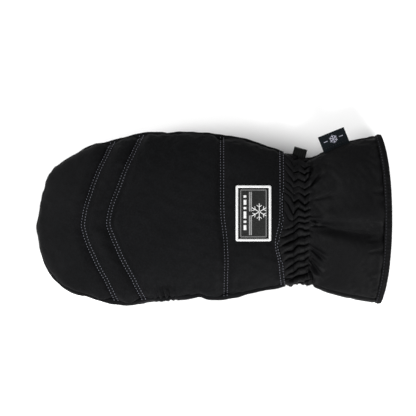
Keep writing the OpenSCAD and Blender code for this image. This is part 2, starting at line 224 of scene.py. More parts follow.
class Skin:
    """The outer surface, on a grid of stations along s and angles round the section."""

    stations = 150
    angles = 180

    def __init__(self):
        self.s = np.linspace(0, s_of(END_X + 1.5), self.stations)
        x = TIP_X + self.s**2
        read = [i for i in range(self.stations) if 0.45 < self.s[i] and x[i] < READ_TO]
        axis = self.read_axis(x, read)
        angle = np.arange(self.angles) * TURN / self.angles
        radius = np.ones((self.stations, self.angles))
        for i in read:
            yc, zc, a, b = axis[i]
            for j, t in enumerate(angle):
                out = np.array([0, a * math.cos(t), b * math.sin(t)])
                place, _ = shell.hit((x[i], yc + out[1] * 3, zc + out[2] * 3), -out)
                if place is not None:
                    reach = np.dot(place[1:] - (yc, zc), out[1:]) / np.dot(out, out)
                    radius[i, j] = reach if reach > 0.5 else np.nan
        radius = self.mended(radius)
        first, last = read[0], read[-1]
        tip = np.array([axis[first][0], axis[first][1]])
        for i in range(first):
            share = self.s[i] / self.s[first]
            axis[i] = (*tip, axis[first][2] * share, axis[first][3] * share)
            radius[i] = radius[first]
        step = 12
        for i in range(last + 1, self.stations):
            k = (x[i] - x[last]) / (x[last] - x[last - step])
            end = np.array(axis[last])
            axis[i] = tuple(end + k * (end - np.array(axis[last - step])))
            radius[i] = radius[last]
        radius = blurred(blurred(radius, 1.6, 1, wrap=True), 1.5, 0)
        axis = np.array(axis)
        axis[6:] = blurred(axis, 1.5)[6:]
        self.grid = np.zeros((self.stations, self.angles, 3))
        self.grid[..., 0] = x[:, None]
        self.grid[..., 1] = axis[:, 0, None] + axis[:, 2, None] * radius * np.cos(angle)
        self.grid[..., 2] = axis[:, 1, None] + axis[:, 3, None] * radius * np.sin(angle)
        self.axis = axis

    def read_axis(self, x, read):
        """The section's middle and half sizes at each station, from rays along Y and Z."""
        axis = [(0.0, 0.0, 1.0, 1.0)] * self.stations
        tip = [v.co for v in frame["nodes"]["fingertip_panel"].data.vertices]
        y = float(np.mean([v.y for v in tip if v.x / MM < TIP_X + 0.3])) / MM
        a = 4.0
        for i in read:
            for _ in range(3):
                top, _ = shell.hit((x[i], y, FAR), (0, 0, -1))
                low, _ = shell.hit((x[i], y + 0.62 * a, -FAR), (0, 0, 1))
                z = (top[2] + low[2]) / 2
                far, _ = shell.hit((x[i], FAR, z), (0, -1, 0))
                near, _ = shell.hit((x[i], -FAR, z), (0, 1, 0))
                y, a = (far[1] + near[1]) / 2, (far[1] - near[1]) / 2
            axis[i] = (y, z, a, (top[2] - low[2]) / 2)
        rows = np.array([axis[i] for i in read])
        rows[3:-3] = np.median([np.roll(rows, k, 0) for k in range(-3, 4)], axis=0)[3:-3]
        for i, row in zip(read, rows):
            axis[i] = tuple(row)
        return axis

    @staticmethod
    def mended(radius):
        """Rays that pass through the thumb hole or the gap at a seam are filled from their neighbours."""
        rows = np.arange(len(radius))
        for column in radius.T:
            found = ~np.isnan(column)
            column[:] = np.interp(rows, rows[found], column[found])
        for side in (1, 0, 1):
            middle = np.median([np.roll(radius, k, side) for k in (-3, -2, -1, 1, 2, 3)], axis=0)
            middle[:4] = radius[:4]
            middle[-4:] = radius[-4:]
            radius = np.where(np.abs(radius - middle) < 0.02 * middle, radius, middle)
        return radius

    def at(self, s, angle):
        return read_grid(self.grid, s / self.s[1], angle / TURN * self.angles, wrap=True)


skin = Skin()


def side_angle(s, low, high, palm_is_low):
    """The angle of the side seam at s: where the hit node changes between palm and back."""
    row = np.clip(s / skin.s[1], 0, skin.stations - 1)
    y, z, a, b = (float(np.interp(row, np.arange(skin.stations), skin.axis[:, k])) for k in range(4))
    for _ in range(9):
        t = (low + high) / 2
        out = (0, a * math.cos(t), b * math.sin(t))
        _, owner = shell.hit((TIP_X + s * s, y + out[1] * 3, z + out[2] * 3), (0, -out[1], -out[2]))
        if (owner in PALM_NODES) == palm_is_low:
            low = t
        else:
            high = t
    return (low + high) / 2


WRIST_X = (node_box("wrist_panel")[1][0], node_box("wrist_shirring")[1][0])


def side_seam(low, high, palm_is_low):
    """A side seam's angle as a function of s, read between the tip and the hem."""
    hand = np.linspace(-150, WRIST_X[0] - 6, 40)
    cuff = np.linspace(WRIST_X[1] + 3, READ_TO - 1, 14)
    ss = s_of(np.concatenate([hand, cuff]))
    angles = np.array([side_angle(s, low, high, palm_is_low) for s in ss])
    angles = np.median([np.roll(angles, k) for k in (-2, -1, 0, 1, 2)], axis=0)
    angles = blurred(angles, 1.5)
    return lambda s: np.interp(s, ss, angles)


little_seam = side_seam(math.radians(-8), math.radians(35), True)
index_seam = side_seam(math.radians(140), math.radians(186), False)


def seam_line(before, after):
    """The seam between two nodes on the back, as x over y, from rays straight down."""
    low, high = node_box(after)
    ys = np.linspace(low[1] + 13, high[1] - 13, 46)
    xs = []
    for y in ys:
        a, b = node_box(before)[0][0] + 6, high[0] - 2
        for _ in range(11):
            x = (a + b) / 2
            _, owner = shell.hit((x, y, FAR), (0, 0, -1))
            a, b = (x, b) if owner in (before, None) else (a, x)
        xs.append((a + b) / 2)
    xs = np.array(xs)
    xs[1:-1] = np.median([xs[:-2], xs[1:-1], xs[2:]], axis=0)
    xs = blurred(xs, 1.2)
    first = (xs[8] - xs[1]) / (ys[8] - ys[1])
    last = (xs[-2] - xs[-9]) / (ys[-2] - ys[-9])

    def line(y):
        beyond = np.minimum(y - ys[0], 0) * first + np.maximum(y - ys[-1], 0) * last
        return np.interp(y, ys, xs) + beyond

    return line


def slope_of(line, y):
    """How much longer a line x over y is than its run in y."""
    return np.sqrt(1 + ((line(y + 1) - line(y - 1)) / 2) ** 2)


def sides(s, u, palm=False):
    """Angles a share u of the way from one side seam to the other, over the back or the palm."""
    ends = (index_seam(s), little_seam(s) + TURN) if palm else (little_seam(s), index_seam(s))
    return mix(*ends, u)


def s_on(line, angle_of, count, start=None, steps=8):
    """The s at which a line x over y crosses each of a row of angles, which may depend on s."""
    if not callable(line):
        return np.full(count, line)
    s = np.full(count, float(s_of(line(0.0) if start is None else start)))
    for _ in range(steps):
        s = s_of(line(skin.at(s, angle_of(s))[..., 1]))
    return s


cad_tip_seam = seam_line("fingertip_panel", "chevron_panel")
cad_chevron_seam = seam_line("chevron_panel", "back_panel")
back_seam = seam_line("back_panel", "wrist_panel")
cad_wrist_seam = seam_line("wrist_panel", "wrist_shirring")


def tip_seam(y):
    """The photographed seam bends a little more sharply than the frame's plain curve."""
    shift = 0.7 * bump(y, 24, 22) - 0.6 * bump(y, -9, 5) - 0.14 * np.maximum(-37 - y, 0)
    return cad_tip_seam(y) - 0.06 * np.maximum(y - 20, 0) + shift


def chevron_seam(y):
    """The seam behind the fingertips, corrected in the same way."""
    shift = 1.5 * bump(y, 26, 16) - 1.0 * bump(y, -9, 8) - 0.07 * np.maximum(-30 - y, 0)
    return cad_chevron_seam(y) + shift


def wrist_seam(y):
    """The gathered fabric pulls the seam toward the fingers on the index side."""
    return cad_wrist_seam(y) + WRIST_SHIFT - 1.4 * bump(y, -24, 11)


# Rows of topstitching beside each seam, as distances toward the cuff.
ROWS = {"tip": (0.8, 3.7), "chevron": (0.7, 3.7), "back": (-1.45, 1.45), "wrist": (-3.7, -0.6)}
DITCH = {"tip": 1.9, "chevron": 1.9, "back": 1.9, "wrist": 0.8}
PUFF = {"tip": 1.0, "chevron": 1.0, "back": 0.4, "wrist": 0.0}
LINES = {"tip": tip_seam, "chevron": chevron_seam, "back": back_seam, "wrist": wrist_seam}

# ---------------------------------------------------------------- sheets of points


def normals_of(points):
    """Outward normals of a grid of points whose rows run along s and columns round the section."""
    along = np.gradient(points, axis=0)
    around = np.gradient(points, axis=1)
    n = np.cross(around, along)
    return n / np.maximum(np.linalg.norm(n, axis=-1, keepdims=True), 1e-9)


def ring_normals(points):
    """The same for a tube, whose last column is followed by its first."""
    wide = np.concatenate([points[:, -3:], points, points[:, :3]], axis=1)
    return normals_of(wide)[:, 3:-3]


def distance_to(points, line):
    """Distance from each point to the nearest of a line of points."""
    flat = points.reshape(-1, 3)
    best = np.full(len(flat), 1e9)
    for start in range(0, len(flat), 4000):
        part = flat[start:start + 4000]
        best[start:start + 4000] = ((part[:, None] - line[None]) ** 2).sum(-1).min(1)
    return np.sqrt(best).reshape(points.shape[:-1])


def resampled(line, step):
    """Points at even steps along a line of points."""
    lengths = np.concatenate([[0], np.cumsum(np.linalg.norm(np.diff(line, axis=0), axis=1))])
    n = max(2, int(round(lengths[-1] / step)) + 1)
    at = np.linspace(0, lengths[-1], n)
    return np.stack([np.interp(at, lengths, line[:, k]) for k in range(3)], axis=1)


def across(line, offset, n=260):
    """Points beside a seam line over the back, a distance toward the cuff, between the side seams."""
    u = np.linspace(0, 1, n)
    beside = lambda y: line(y) + offset * slope_of(line, y)
    s = s_on(beside, lambda s: sides(s, u), n, line(0.0))
    return skin.at(s, sides(s, u))


def along(angle_of, x0, x1, n=300):
    """The points of a line that follows an angle, between two distances along the mitten."""
    s = np.linspace(s_of(x0), s_of(x1), n)
    return skin.at(s, angle_of(s) + np.zeros(n))


SEAMS = {
    "little": along(little_seam, TIP_X + 0.5, WRIST_X[0]),
    "index": along(index_seam, TIP_X + 0.5, WRIST_X[0]),
    "cuff_little": along(little_seam, WRIST_X[1], END_X),
    "cuff_index": along(index_seam, WRIST_X[1], END_X),
}


def sheet_grid(start, stop, rows, cols, palm=False):
    """Places between two lines, from one side seam to the other. Each line may be an s instead."""
    u = np.linspace(0, 1, cols)
    first, last = (s_on(line, lambda s: sides(s, u, palm), cols) for line in (start, stop))
    s = mix(first[None], last[None], np.linspace(0, 1, rows)[:, None])
    return s, sides(s, u[None], palm)


def ring_angles(cols):
    return np.arange(cols) * TURN / cols


def ring_grid(start, stop, rows, cols):
    """Places right round the mitten between two lines."""
    angle = ring_angles(cols)
    first, last = (s_on(line, lambda s: angle, cols, steps=7) for line in (start, stop))
    s = mix(first[None], last[None], np.linspace(0, 1, rows)[:, None])
    return s, angle[None] + np.zeros_like(s)


# ---------------------------------------------------------------- cloth simulation

CLOTH_FRAMES = 18


def inflated(points, pressure=3.0, slack=0.005, cap=3.0):
    """How far a sheet of points moves, blown up as cloth from inside with its rim held."""
    rows, cols = points.shape[:2]
    held = np.ones((rows, cols), bool)
    held[1:-1, 1:-1] = False
    faces = grid_faces(rows, cols)
    mesh = bpy.data.meshes.new("cloth")
    mesh.from_pydata((points.reshape(-1, 3) * MM).tolist(), [], faces)
    cloth = bpy.data.objects.new("cloth", mesh)
    bpy.context.scene.collection.objects.link(cloth)
    pins = cloth.vertex_groups.new(name="held")
    pins.add([int(i) for i in np.flatnonzero(held.reshape(-1))], 1.0, "REPLACE")
    settings = cloth.modifiers.new("cloth", "CLOTH").settings
    settings.quality = 5
    settings.mass = 0.02
    settings.tension_stiffness = settings.compression_stiffness = 12
    settings.shear_stiffness = 6
    settings.bending_stiffness = 0.08
    settings.air_damping = 6
    settings.vertex_group_mass = "held"
    settings.use_pressure = True
    settings.uniform_pressure_force = pressure
    settings.shrink_min = -slack
    settings.effector_weights.gravity = 0
    scene = bpy.context.scene
    for f in range(CLOTH_FRAMES):
        scene.frame_set(f + 1)
    moved = cloth.evaluated_get(bpy.context.evaluated_depsgraph_get())
    out = np.array([v.co for v in moved.data.vertices]).reshape(points.shape) / MM
    bpy.data.objects.remove(cloth)
    scene.frame_set(1)
    offset = out - points
    size = np.linalg.norm(offset, axis=-1, keepdims=True)
    return offset * np.minimum(1, cap / np.maximum(size, 1e-9))


def grid_faces(rows, cols, wrap=False):
    """The faces of a grid of points. A wrapped grid's last column joins its first."""
    faces = []
    for i in range(rows - 1):
        for j in range(cols if wrap else cols - 1):
            k = (j + 1) % cols
            faces.append([i * cols + j, i * cols + k, (i + 1) * cols + k, (i + 1) * cols + j])
    return faces


def rod_faces(rows, cols):
    """Rings of points joined into a rod, with a face over each end."""
    last = (rows - 1) * cols
    return grid_faces(rows, cols, True) + [list(range(cols)), list(range(last, last + cols))[::-1]]


def loop_faces(rows, cols):
    """Rings of points joined into a closed loop, whose last ring joins its first."""
    last = (rows - 1) * cols
    joint = [[last + j, last + (j + 1) % cols, (j + 1) % cols, j] for j in range(cols)]
    return grid_faces(rows, cols, True) + joint


def blown_sheet(grid, rows, cols, coarse, **cloth):
    """The places of a sheet, their normals, and how far cloth moves them. The cloth is coarser."""
    s, angle = grid(rows, cols)
    base = skin.at(s, angle)
    moved = inflated(skin.at(*grid(*coarse)), **cloth)
    u, v = over_grid(rows, cols)
    blown = read_grid(moved, u * (coarse[0] - 1), v * (coarse[1] - 1))
    return s, angle, base, normals_of(base), blown


# ---------------------------------------------------------------- meshes


def add_piece(name, verts, faces, material):
    mesh = bpy.data.meshes.new(name)
    mesh.from_pydata((np.asarray(verts) * MM).tolist(), [], [list(f) for f in faces])
    mesh.validate()
    mesh.polygons.foreach_set("use_smooth", [True] * len(mesh.polygons))
    mesh.set_sharp_from_angle(angle=math.radians(72))
    piece = bpy.data.objects.new(name, mesh)
    bpy.context.scene.collection.objects.link(piece)
    mesh.materials.append(material)
    return piece


def pad_piece(name, outer, inner, material, wrap=False, keep=None):
    """A closed pad between an outer and an inner sheet of points. keep says which cells are there."""
    rows, cols = outer.shape[:2]
    size = rows * cols
    top = grid_faces(rows, cols, wrap)
    if keep is not None:
        top = [f for f, kept in zip(top, keep.reshape(-1)) if kept]
    low = [[size + i for i in reversed(f)] for f in top]
    edges = {(f[k], f[(k + 1) % 4]) for f in top for k in range(4)}
    rims = [(a, b) for a, b in edges if (b, a) not in edges]
    walls = [[b, a, size + a, size + b] for a, b in sorted(rims)]
    points = np.concatenate([outer.reshape(-1, 3), inner.reshape(-1, 3)])
    used = np.unique([i for f in top + low for i in f])
    order = np.full(2 * size, -1)
    order[used] = np.arange(len(used))
    faces = [[int(order[i]) for i in f] for f in top + low + walls]
    return add_piece(name, points[used], faces, material)


# ---------------------------------------------------------------- how the fabric lies

broad = waves(3, 26, 60)
fine = waves(5, 8, 16)
pucker = waves(8, 5, 11)


def signed(points, line):
    """Distance past a seam line, toward the cuff."""
    return (points[..., 0] - line(points[..., 1])) / slope_of(line, points[..., 1])


def seam_relief(points, name):
    """The padding near a seam and its two rows of stitches. The fabric is held flat between them."""
    t = signed(points, LINES[name])
    low, high = row_span(name)
    lean = 0.5 * np.tanh(points[..., 1] / 22) if name == "back" else 0.5
    before = np.clip(low - t, 0, None)
    after = np.clip(t - high, 0, None)
    deep_before, deep_after = DITCH[name] + 0.5 * lean, DITCH[name] - 0.5 * lean
    out = -deep_before * bump(before, 0, 3.4) * (t <= low)
    out += -deep_after * bump(after, 0, 3.4) * (t >= high)
    out += PUFF[name] * 0.9 * bump(before, 8, 4.0) * (t <= low)
    out += PUFF[name] * 0.5 * bump(after, 7, 3.6) * (t >= high)
    step = mix(-deep_before, -deep_after, smooth((t - low) / (high - low)))
    out += np.where((t > low) & (t < high), step, 0)
    out -= 0.3 * DITCH[name] * bump(t, 0, 9.0)
    out -= 0.7 * bump(t, 0, 0.8)
    for row in ROWS[name]:
        out -= 0.4 * np.exp(-(((t - row) / 0.7) ** 2))
    return out + 0.16 * smooth((9 - np.abs(t)) / 9) * pucker(points)


def side_relief(points, line):
    """The groove of a side seam, and the puckers its stitches pull."""
    t = distance_to(points, line)
    groove = -1.9 * bump(t, 0, 1.1) - 0.4 * bump(t, 0, 4)
    fuller = 0.8 * smooth((16 - t) / 12) * smooth((points[..., 0] + 158) / 14)
    return groove + fuller + 0.09 * smooth((9 - t) / 9) * pucker(points)


def crease(points, start, end, wide, deep, ridge=0.7, top_side=True):
    """A fold in the fabric of the back: a valley along a line, and a ridge beside it."""
    a, b = np.array(start, float), np.array(end, float)
    run = np.linalg.norm(b - a)
    d = (b - a) / run
    rel = points[..., :2] - a
    u = (rel @ d) / run
    t = rel @ np.array([-d[1], d[0]])
    wide = wide * (0.45 + 0.8 * np.clip(u, 0, 1))
    taper = smooth((u + 0.08) / 0.3) * smooth((1.08 - u) / 0.45)
    valley = -np.exp(-((t / wide) ** 2))
    crest = bump(t, 1.9 * wide, 1.5 * wide) + 0.6 * bump(t, -2.0 * wide, 1.4 * wide)
    shown = smooth((points[..., 2] - 14) / 8) if top_side else 1.0
    return deep * taper * (valley + ridge * crest) * shown


def depth_at(s, deep):
    """Padding depth, thinner where the fingertip closes."""
    half = np.interp(s, skin.s, np.minimum(skin.axis[:, 2], skin.axis[:, 3]))
    return np.minimum(deep, 0.45 * half)


def padded(name, grid, long, cell, material, relief, puff=2.2, free=None, floor=None, hole=None):
    """A padded panel. Its outside is a cloth sheet blown up between its seams, then stitched down."""
    rows, cols = int(long / cell) + 1, int(HAND_ROUND / cell) + 1
    coarse = (max(7, rows // 3), max(9, cols // 3))
    s, _, base, normals, blown = blown_sheet(grid, rows, cols, coarse, cap=puff)
    blown *= smooth(s / 3.2)[..., None]
    if free is not None:
        blown *= free(base)[..., None]
    outer = base + blown + normals * relief(base)[..., None]
    inner = base - normals * depth_at(s, PANEL_DEPTH)[..., None]
    if floor is not None:
        outer[..., 2] = np.maximum(outer[..., 2], floor)
        inner[..., 2] = np.maximum(inner[..., 2], floor + FLOOR_WALL)
    keep = None if hole is None else hole(base)[:-1, :-1]
    return pad_piece(name, outer, inner, material, keep=keep)


def row_span(name):
    """The reach of a seam and its rows of stitches."""
    return min(0, ROWS[name][0]), max(0, ROWS[name][1])


def beyond(*names):
    """Where a panel is free to puff: clear of the stitch rows of the named seams."""
    def free(points):
        out = np.ones(points.shape[:2])
        for name in names:
            t = signed(points, LINES[name])
            low, high = row_span(name)
            out *= smooth(np.maximum(low - t, t - high) / 5)
        return out
    return free


# ---------------------------------------------------------------- materials


def new_material(name, colour, rough, sheen=0.0, sheen_rough=0.5, specular=0.3):
    material = bpy.data.materials.new(name)
    material.use_nodes = True
    inputs = material.node_tree.nodes["Principled BSDF"].inputs
    inputs["Base Color"].default_value = (*colour, 1)
    inputs["Roughness"].default_value = rough
    inputs["Sheen Weight"].default_value = sheen
    inputs["Sheen Roughness"].default_value = sheen_rough
    inputs["Specular IOR Level"].default_value = specular
    return material


class Nodes:
    """Short ways to add shader nodes to a new material. Sizes are in millimetres."""

    def __init__(self, name, colour, *look):
        self.material = new_material(name, colour, *look)
        self.colour = colour
        self.place = self.add("TexCoord", "Object")

    def link(self, value, socket):
        if isinstance(value, (int, float)):
            socket.default_value = value
        else:
            self.material.node_tree.links.new(value, socket)

    def add(self, kind, output, **inputs):
        """A node of a kind. Inputs are values or other nodes' outputs, by name or by place."""
        node = self.material.node_tree.nodes.new("ShaderNode" + kind)
        for name, value in inputs.items():
            key = int(name[1:]) if name[0] == "_" else name.replace("_", " ")
            self.link(value, node.inputs[key])
        return node if output is None else node.outputs[output]

    def noise(self, size, detail=3.0, rough=0.5):
        scale = 1 / (size * MM)
        return self.add("TexNoise", "Fac", Scale=scale, Detail=detail, Roughness=rough, Vector=self.place)

    def cells(self, size):
        return self.add("TexVoronoi", "Distance", Scale=1 / (size * MM), Vector=self.place)

    def maths(self, operation, a, b=0.0):
        node = self.add("Math", None, _0=a, _1=b)
        node.operation = operation
        return node.outputs[0]

    def total(self, first, *others):
        for value in others:
            first = self.maths("ADD", first, value)
        return first

    def lint(self, amount):
        """Sparse specks of lint: a value where the surface meets a ball round a cell's middle."""
        return self.maths("MULTIPLY", self.maths("LESS_THAN", self.cells(3.0), 0.11), amount)

    def thread(self, direction, size):
        """Threads a size apart along a direction: a rounded wave from 0 to 1."""
        node = self.add("VectorMath", None, _0=self.place)
        node.operation = "DOT_PRODUCT"
        node.inputs[1].default_value = Vector(direction).normalized() * (TURN / (size * MM))
        return self.maths("MULTIPLY_ADD", self.maths("SINE", node.outputs["Value"]), 0.5)

    def spread(self, value, low, high):
        return self.add("MapRange", "Result", To_Min=low, To_Max=high, Value=value)

    def bump(self, height, deep, strength=1.0, under=None):
        normal = {} if under is None else {"Normal": under}
        return self.add("Bump", "Normal", Strength=strength, Distance=deep * MM, Height=height, **normal)

    def finish(self, shade, stops, rough=None, normal=None):
        """Colours the shader by shades of the material's colour, at stops along a value."""
        node = self.add("ValToRGB", None, Fac=shade)
        ramp = node.color_ramp
        shades = [(*(c * k for c in self.colour), 1) for _, k in stops]
        ramp.elements[0].position, ramp.elements[0].color = stops[0][0], shades[0]
        ramp.elements[-1].position, ramp.elements[-1].color = stops[-1][0], shades[-1]
        for (place, _), shade in zip(stops[1:-1], shades[1:-1]):
            ramp.elements.new(place).color = shade
        inputs = self.material.node_tree.nodes["Principled BSDF"].inputs
        self.link(node.outputs["Color"], inputs["Base Color"])
        if rough is not None:
            self.link(rough, inputs["Roughness"])
        self.link(normal, inputs["Normal"])
        return self.material


def softshell(name, grain_size):
    """A matte knit face with a fine grain, lint-like specks and a slow change of shade."""
    n = Nodes(name, BLACK, SOFT_ROUGH, 0.012, 0.45, 0.05)
    grain = n.noise(grain_size, 2.0, 0.6)
    slow, fuzz = n.noise(34, 2.0), n.noise(1.5, 1.0)
    shade = n.total(n.spread(grain, -0.5, 0.5), n.spread(slow, 0.2, 0.8))
    shade = n.total(shade, n.spread(fuzz, -0.55, 0.55), n.lint(0.8))
    rough = n.spread(n.noise(6), SOFT_ROUGH - 0.08, SOFT_ROUGH + 0.08)
    low = n.bump(n.noise(2.4, 2.0), 0.10, 0.5)
    normal = n.bump(n.total(grain, n.cells(grain_size * 1.4)), 0.06, 0.8, low)
    return n.finish(shade, ((0.0, 0.5), (0.5, 1), (1.0, 1.8)), rough, normal)


def woven(name, colour, size, rough, specular, deep=0.05):
    """A plain weave: two sets of threads that pass over and under each other."""
    n = Nodes(name, colour, rough, 0.0, 0.35, specular)
    warp, weft = n.thread((1, 0, 0), size), n.thread((0, 1, 0), size)
    up = n.thread((1, 1, 0), size * 1.41)
    under = n.maths("MULTIPLY", weft, n.maths("SUBTRACT", 1.0, up))
    height = n.total(n.maths("MULTIPLY", warp, up), under)
    slow, fuzz = n.noise(26, 3.0), n.noise(1.1, 2.0)
    shade = n.total(n.spread(height, -0.25, 0.25), n.spread(slow, 0.2, 0.8))
    shade = n.total(shade, n.spread(fuzz, -0.6, 0.6), n.lint(0.7))
    normal = n.bump(height, deep, 0.7, n.bump(n.noise(1.3, 2.0), 0.09, 0.5))
    varied = n.spread(n.noise(1.6), rough - 0.09, rough + 0.09)
    return n.finish(shade, ((0.0, 0.5), (0.5, 1), (1.0, 1.9)), varied, normal)


def thread(name, colour, direction=(1, 1, 0), size=0.35, rough=0.55):
    """Dense thread that lies side by side along one direction."""
    n = Nodes(name, colour, rough, 0.02, 0.4, 0.08)
    line = n.thread(direction, size)
    shade = n.total(n.spread(line, -0.3, 0.2), n.spread(n.noise(3, 3.0), 0.3, 0.9))
    return n.finish(shade, ((0.0, 0.6), (0.6, 1), (1.0, 1.15)), normal=n.bump(line, 0.12, 0.8))


def leather(name, colour):
    n = Nodes(name, colour, 0.58, 0.0, 0.5, 0.07)
    pebbles, wrinkles = n.cells(1.1), n.noise(4.0, 5.0, 0.6)
    shade = n.maths("MULTIPLY", pebbles, wrinkles)
    normal = n.bump(pebbles, 0.16, 0.7, n.bump(wrinkles, 0.25, 0.4))
    return n.finish(shade, ((0.0, 0.5), (0.45, 1.3)), n.spread(wrinkles, 0.45, 0.72), normal)


def fleece(name, colour):
    n = Nodes(name, colour, 0.9, 0.03, 0.6, 0.03)
    tufts = n.noise(1.3, 4.0, 0.7)
    shade = n.total(n.spread(tufts, -0.2, 0.5), n.spread(n.noise(12), 0.1, 0.6))
    return n.finish(shade, ((0.1, 0.4), (0.9, 1.8)), normal=n.bump(tufts, 0.9, 1.0))


def film(name, colour):
    n = Nodes(name, colour, 0.4)
    wrinkles = n.noise(7, 4.0, 0.6)
    return n.finish(wrinkles, ((0.3, 0.7), (0.7, 1.2)), normal=n.bump(wrinkles, 0.5, 0.6))


def grey(value):
    return (value, value, value)


BLACK = (0.0027, 0.0028, 0.0032)
SOFT_ROUGH = 0.72
# Each material: how it is made, then its numbers.
MATERIALS = {
    "softshell": (softshell, 0.42),
    "palm_fabric": (softshell, 0.5),
    "cuff_fabric": (woven, (0.0025, 0.0025, 0.0028), 0.45, 0.54, 0.06),
    "hem_fabric": (woven, (0.0028, 0.0028, 0.0031), 0.6, 0.6, 0.045, 0.08),
    "grip_leather": (leather, (0.0045, 0.0045, 0.0050)),
    "fleece": (fleece, (0.010, 0.010, 0.0115)),
    "insert_film": (film, (0.10, 0.14, 0.18)),
    "seam_thread": (thread, (0.125, 0.128, 0.150)),
    "dark_thread": (thread, (0.013, 0.013, 0.015)),
    "hem_thread": (thread, (0.045, 0.046, 0.055)),
    "black_thread": (thread, (0.004, 0.004, 0.0045)),
    "label_thread": (thread, (0.42, 0.42, 0.50), (1, 1, 0), 0.4),
    "badge_black": (woven, grey(0.003), 0.5, 0.8, 0.05, 0.1),
    "badge_ground": (woven, grey(0.0135), 0.55, 0.75, 0.08, 0.1),
    "badge_white": (thread, grey(0.64), (1, 1, 0), 0.5),
    "badge_grey": (thread, grey(0.12), (1, 0, 0), 0.4),
    "badge_light": (thread, grey(0.26), (1, 0, 0), 0.4),
    "webbing": (thread, (0.0022, 0.0026, 0.0024), (0, 0, 1), 0.8, 0.7),
    "label_weave": (woven, (0.0034, 0.0052, 0.0066), 0.35, 0.6, 0.05),
}
M = {name: make(name, *numbers) for name, (make, *numbers) in MATERIALS.items()}

# ---------------------------------------------------------------- panels of the hand

# Dents at the edge of the hand: x, y, width and depth.
DENTS = ((-155.5, 25, 3.2, 1.3), (-13, -73, 4.0, 1.4), (-52, 73, 5, 0.7))


def hand_relief(*names):
    def relief(points):
        out = 0.35 * broad(points) + 0.12 * fine(points)
        for name in names:
            out = out + seam_relief(points, name)
        out = out + side_relief(points, SEAMS["little"]) + side_relief(points, SEAMS["index"])
        for x, y, wide, deep in DENTS:
            out = out - deep * bump(points[..., 0], x, wide) * bump(points[..., 1], y, wide)
        return out + index_puckers(points) + index_fullness(points)
    return relief


def index_puckers(points):
    """Short folds pulled in by the index seam beside the knuckles."""
    x, y = points[..., 0], points[..., 1]
    near = bump(x, -45, 9) * smooth((-60 - y) / 7) * smooth((y + 79) / 6)
    return 1.7 * near * np.sin((x + 0.25 * y) * TURN / 5.2)


def index_fullness(points):
    """The index side swells a little behind the fingertips."""
    return 1.6 * bump(points[..., 0], -87, 22) * smooth((-62 - points[..., 1]) / 12)


def badge_clear(points):
    """0 under the badge and 1 away from it."""
    low, high = node_box("badge_base")
    gap = np.maximum(low[:2] - points[..., :2], points[..., :2] - high[:2]).max(-1)
    return smooth(gap / 7)


def wrist_free(points):
    return beyond("back", "wrist")(points) * mix(0.25, 1, badge_clear(points))


def finished(piece, body, *replaced, slot):
    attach(piece, body)
    if replaced:
        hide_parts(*replaced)
    return piece


def bent(piece, a, b, start, end, *replaced, slot):
    """Fabric that crosses a joint: it hides the pieces it replaces and stays where it was built, in neither
    body.
    """
    if replaced:
        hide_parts(*replaced)
    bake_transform(piece)
    return piece


THUMB_AT = np.array(JOINTS["thumb_swing"]["pos_m"][:2]) / MM


def past_hole(points):
    return np.linalg.norm(points[..., :2] - THUMB_AT, axis=-1) > THUMB_HOLE


def off_thumb(points):
    """False inside the thumb's hole in the palm."""
    return past_hole(points) | (points[..., 2] > 30)


def make_hand():
    back = (
        ("tip_pad", TIP_S, tip_seam, 46, ("tip",), ("fingertip_panel",)),
        ("chevron_pad", tip_seam, chevron_seam, 26, ("tip", "chevron"), ("chevron_panel",)),
        ("back_pad", chevron_seam, back_seam, 106, ("chevron", "back"), ("back_panel", "back_padding")),
        ("wrist_pad", back_seam, wrist_seam, 56, ("back", "wrist"), ("wrist_panel",)),
    )
    pieces = {}
    for name, start, stop, long, seams, nodes in back:
        free = wrist_free if name == "wrist_pad" else beyond(*seams)
        grid = lambda r, c, a=start, b=stop: sheet_grid(a, b, r, c)
        piece = padded(name, grid, long, HAND_CELL, M["softshell"], hand_relief(*seams), free=free)
        pieces[name] = finished(piece, "hand", *nodes, slot="softshell")
    grid = lambda r, c: sheet_grid(TIP_S, wrist_seam, r, c, palm=True)
    floor = {"floor": FLOOR_GAP, "hole": off_thumb}
    palm = padded("palm_pad", grid, 225, PALM_CELL, M["palm_fabric"], hand_relief(), 0.8, **floor)
    pieces["palm_pad"] = finished(palm, "hand", "palm_panel", "palm_padding", slot="palm_fabric")
    return pieces


hand = make_hand()

# ---------------------------------------------------------------- the gathered wrist

ZIGZAG = ((71.0, 75.4), (81.2, 85.6))   # where the two zigzag stitchings lie, along X
WRIST_END = node_box("cuff_back_panel")[0][0]


def wrist_bent(piece, *replaced, slot):
    start, end = (FLEX_FROM, 0, WRIST_Z), (WRIST_END, 0, WRIST_Z)
    return bent(piece, "hand", "cuff", start, end, *replaced, slot=slot)


def around_length():
    """Length round the section at the middle of the elastic, for each angle."""
    angle = np.linspace(0, TURN, 721)
    ring = skin.at(np.full(721, float(s_of(76))), angle)
    return angle, np.concatenate([[0], np.cumsum(np.linalg.norm(np.diff(ring, axis=0), axis=1))])


RING_ANGLE, RING_LENGTH = around_length()
# Slants of the folds between the stitchings, on the two halves of the back.
UPPER_SLANTS = (-0.85, 0.75, -0.62, 0.75, 0.5)
LOWER_SLANTS = (0.30, 0.80, 0.15, 0.80, -0.45)


def fold_shift(x, lower):
    """How far the folds have moved round the wrist by x. The slant changes at the stitching."""
    knots = np.array([56.0, *ZIGZAG[0], *ZIGZAG[1], 96.0])
    shift = 0
    for slants, share in ((UPPER_SLANTS, 1 - lower), (LOWER_SLANTS, lower)):
        moved = np.concatenate([[0], np.cumsum(slants * np.diff(knots))])
        shift = shift + share * (np.interp(x, knots, moved) - moved[1])
    return shift


def length_round(angle):
    return np.interp(np.mod(angle, TURN), RING_ANGLE, RING_LENGTH)


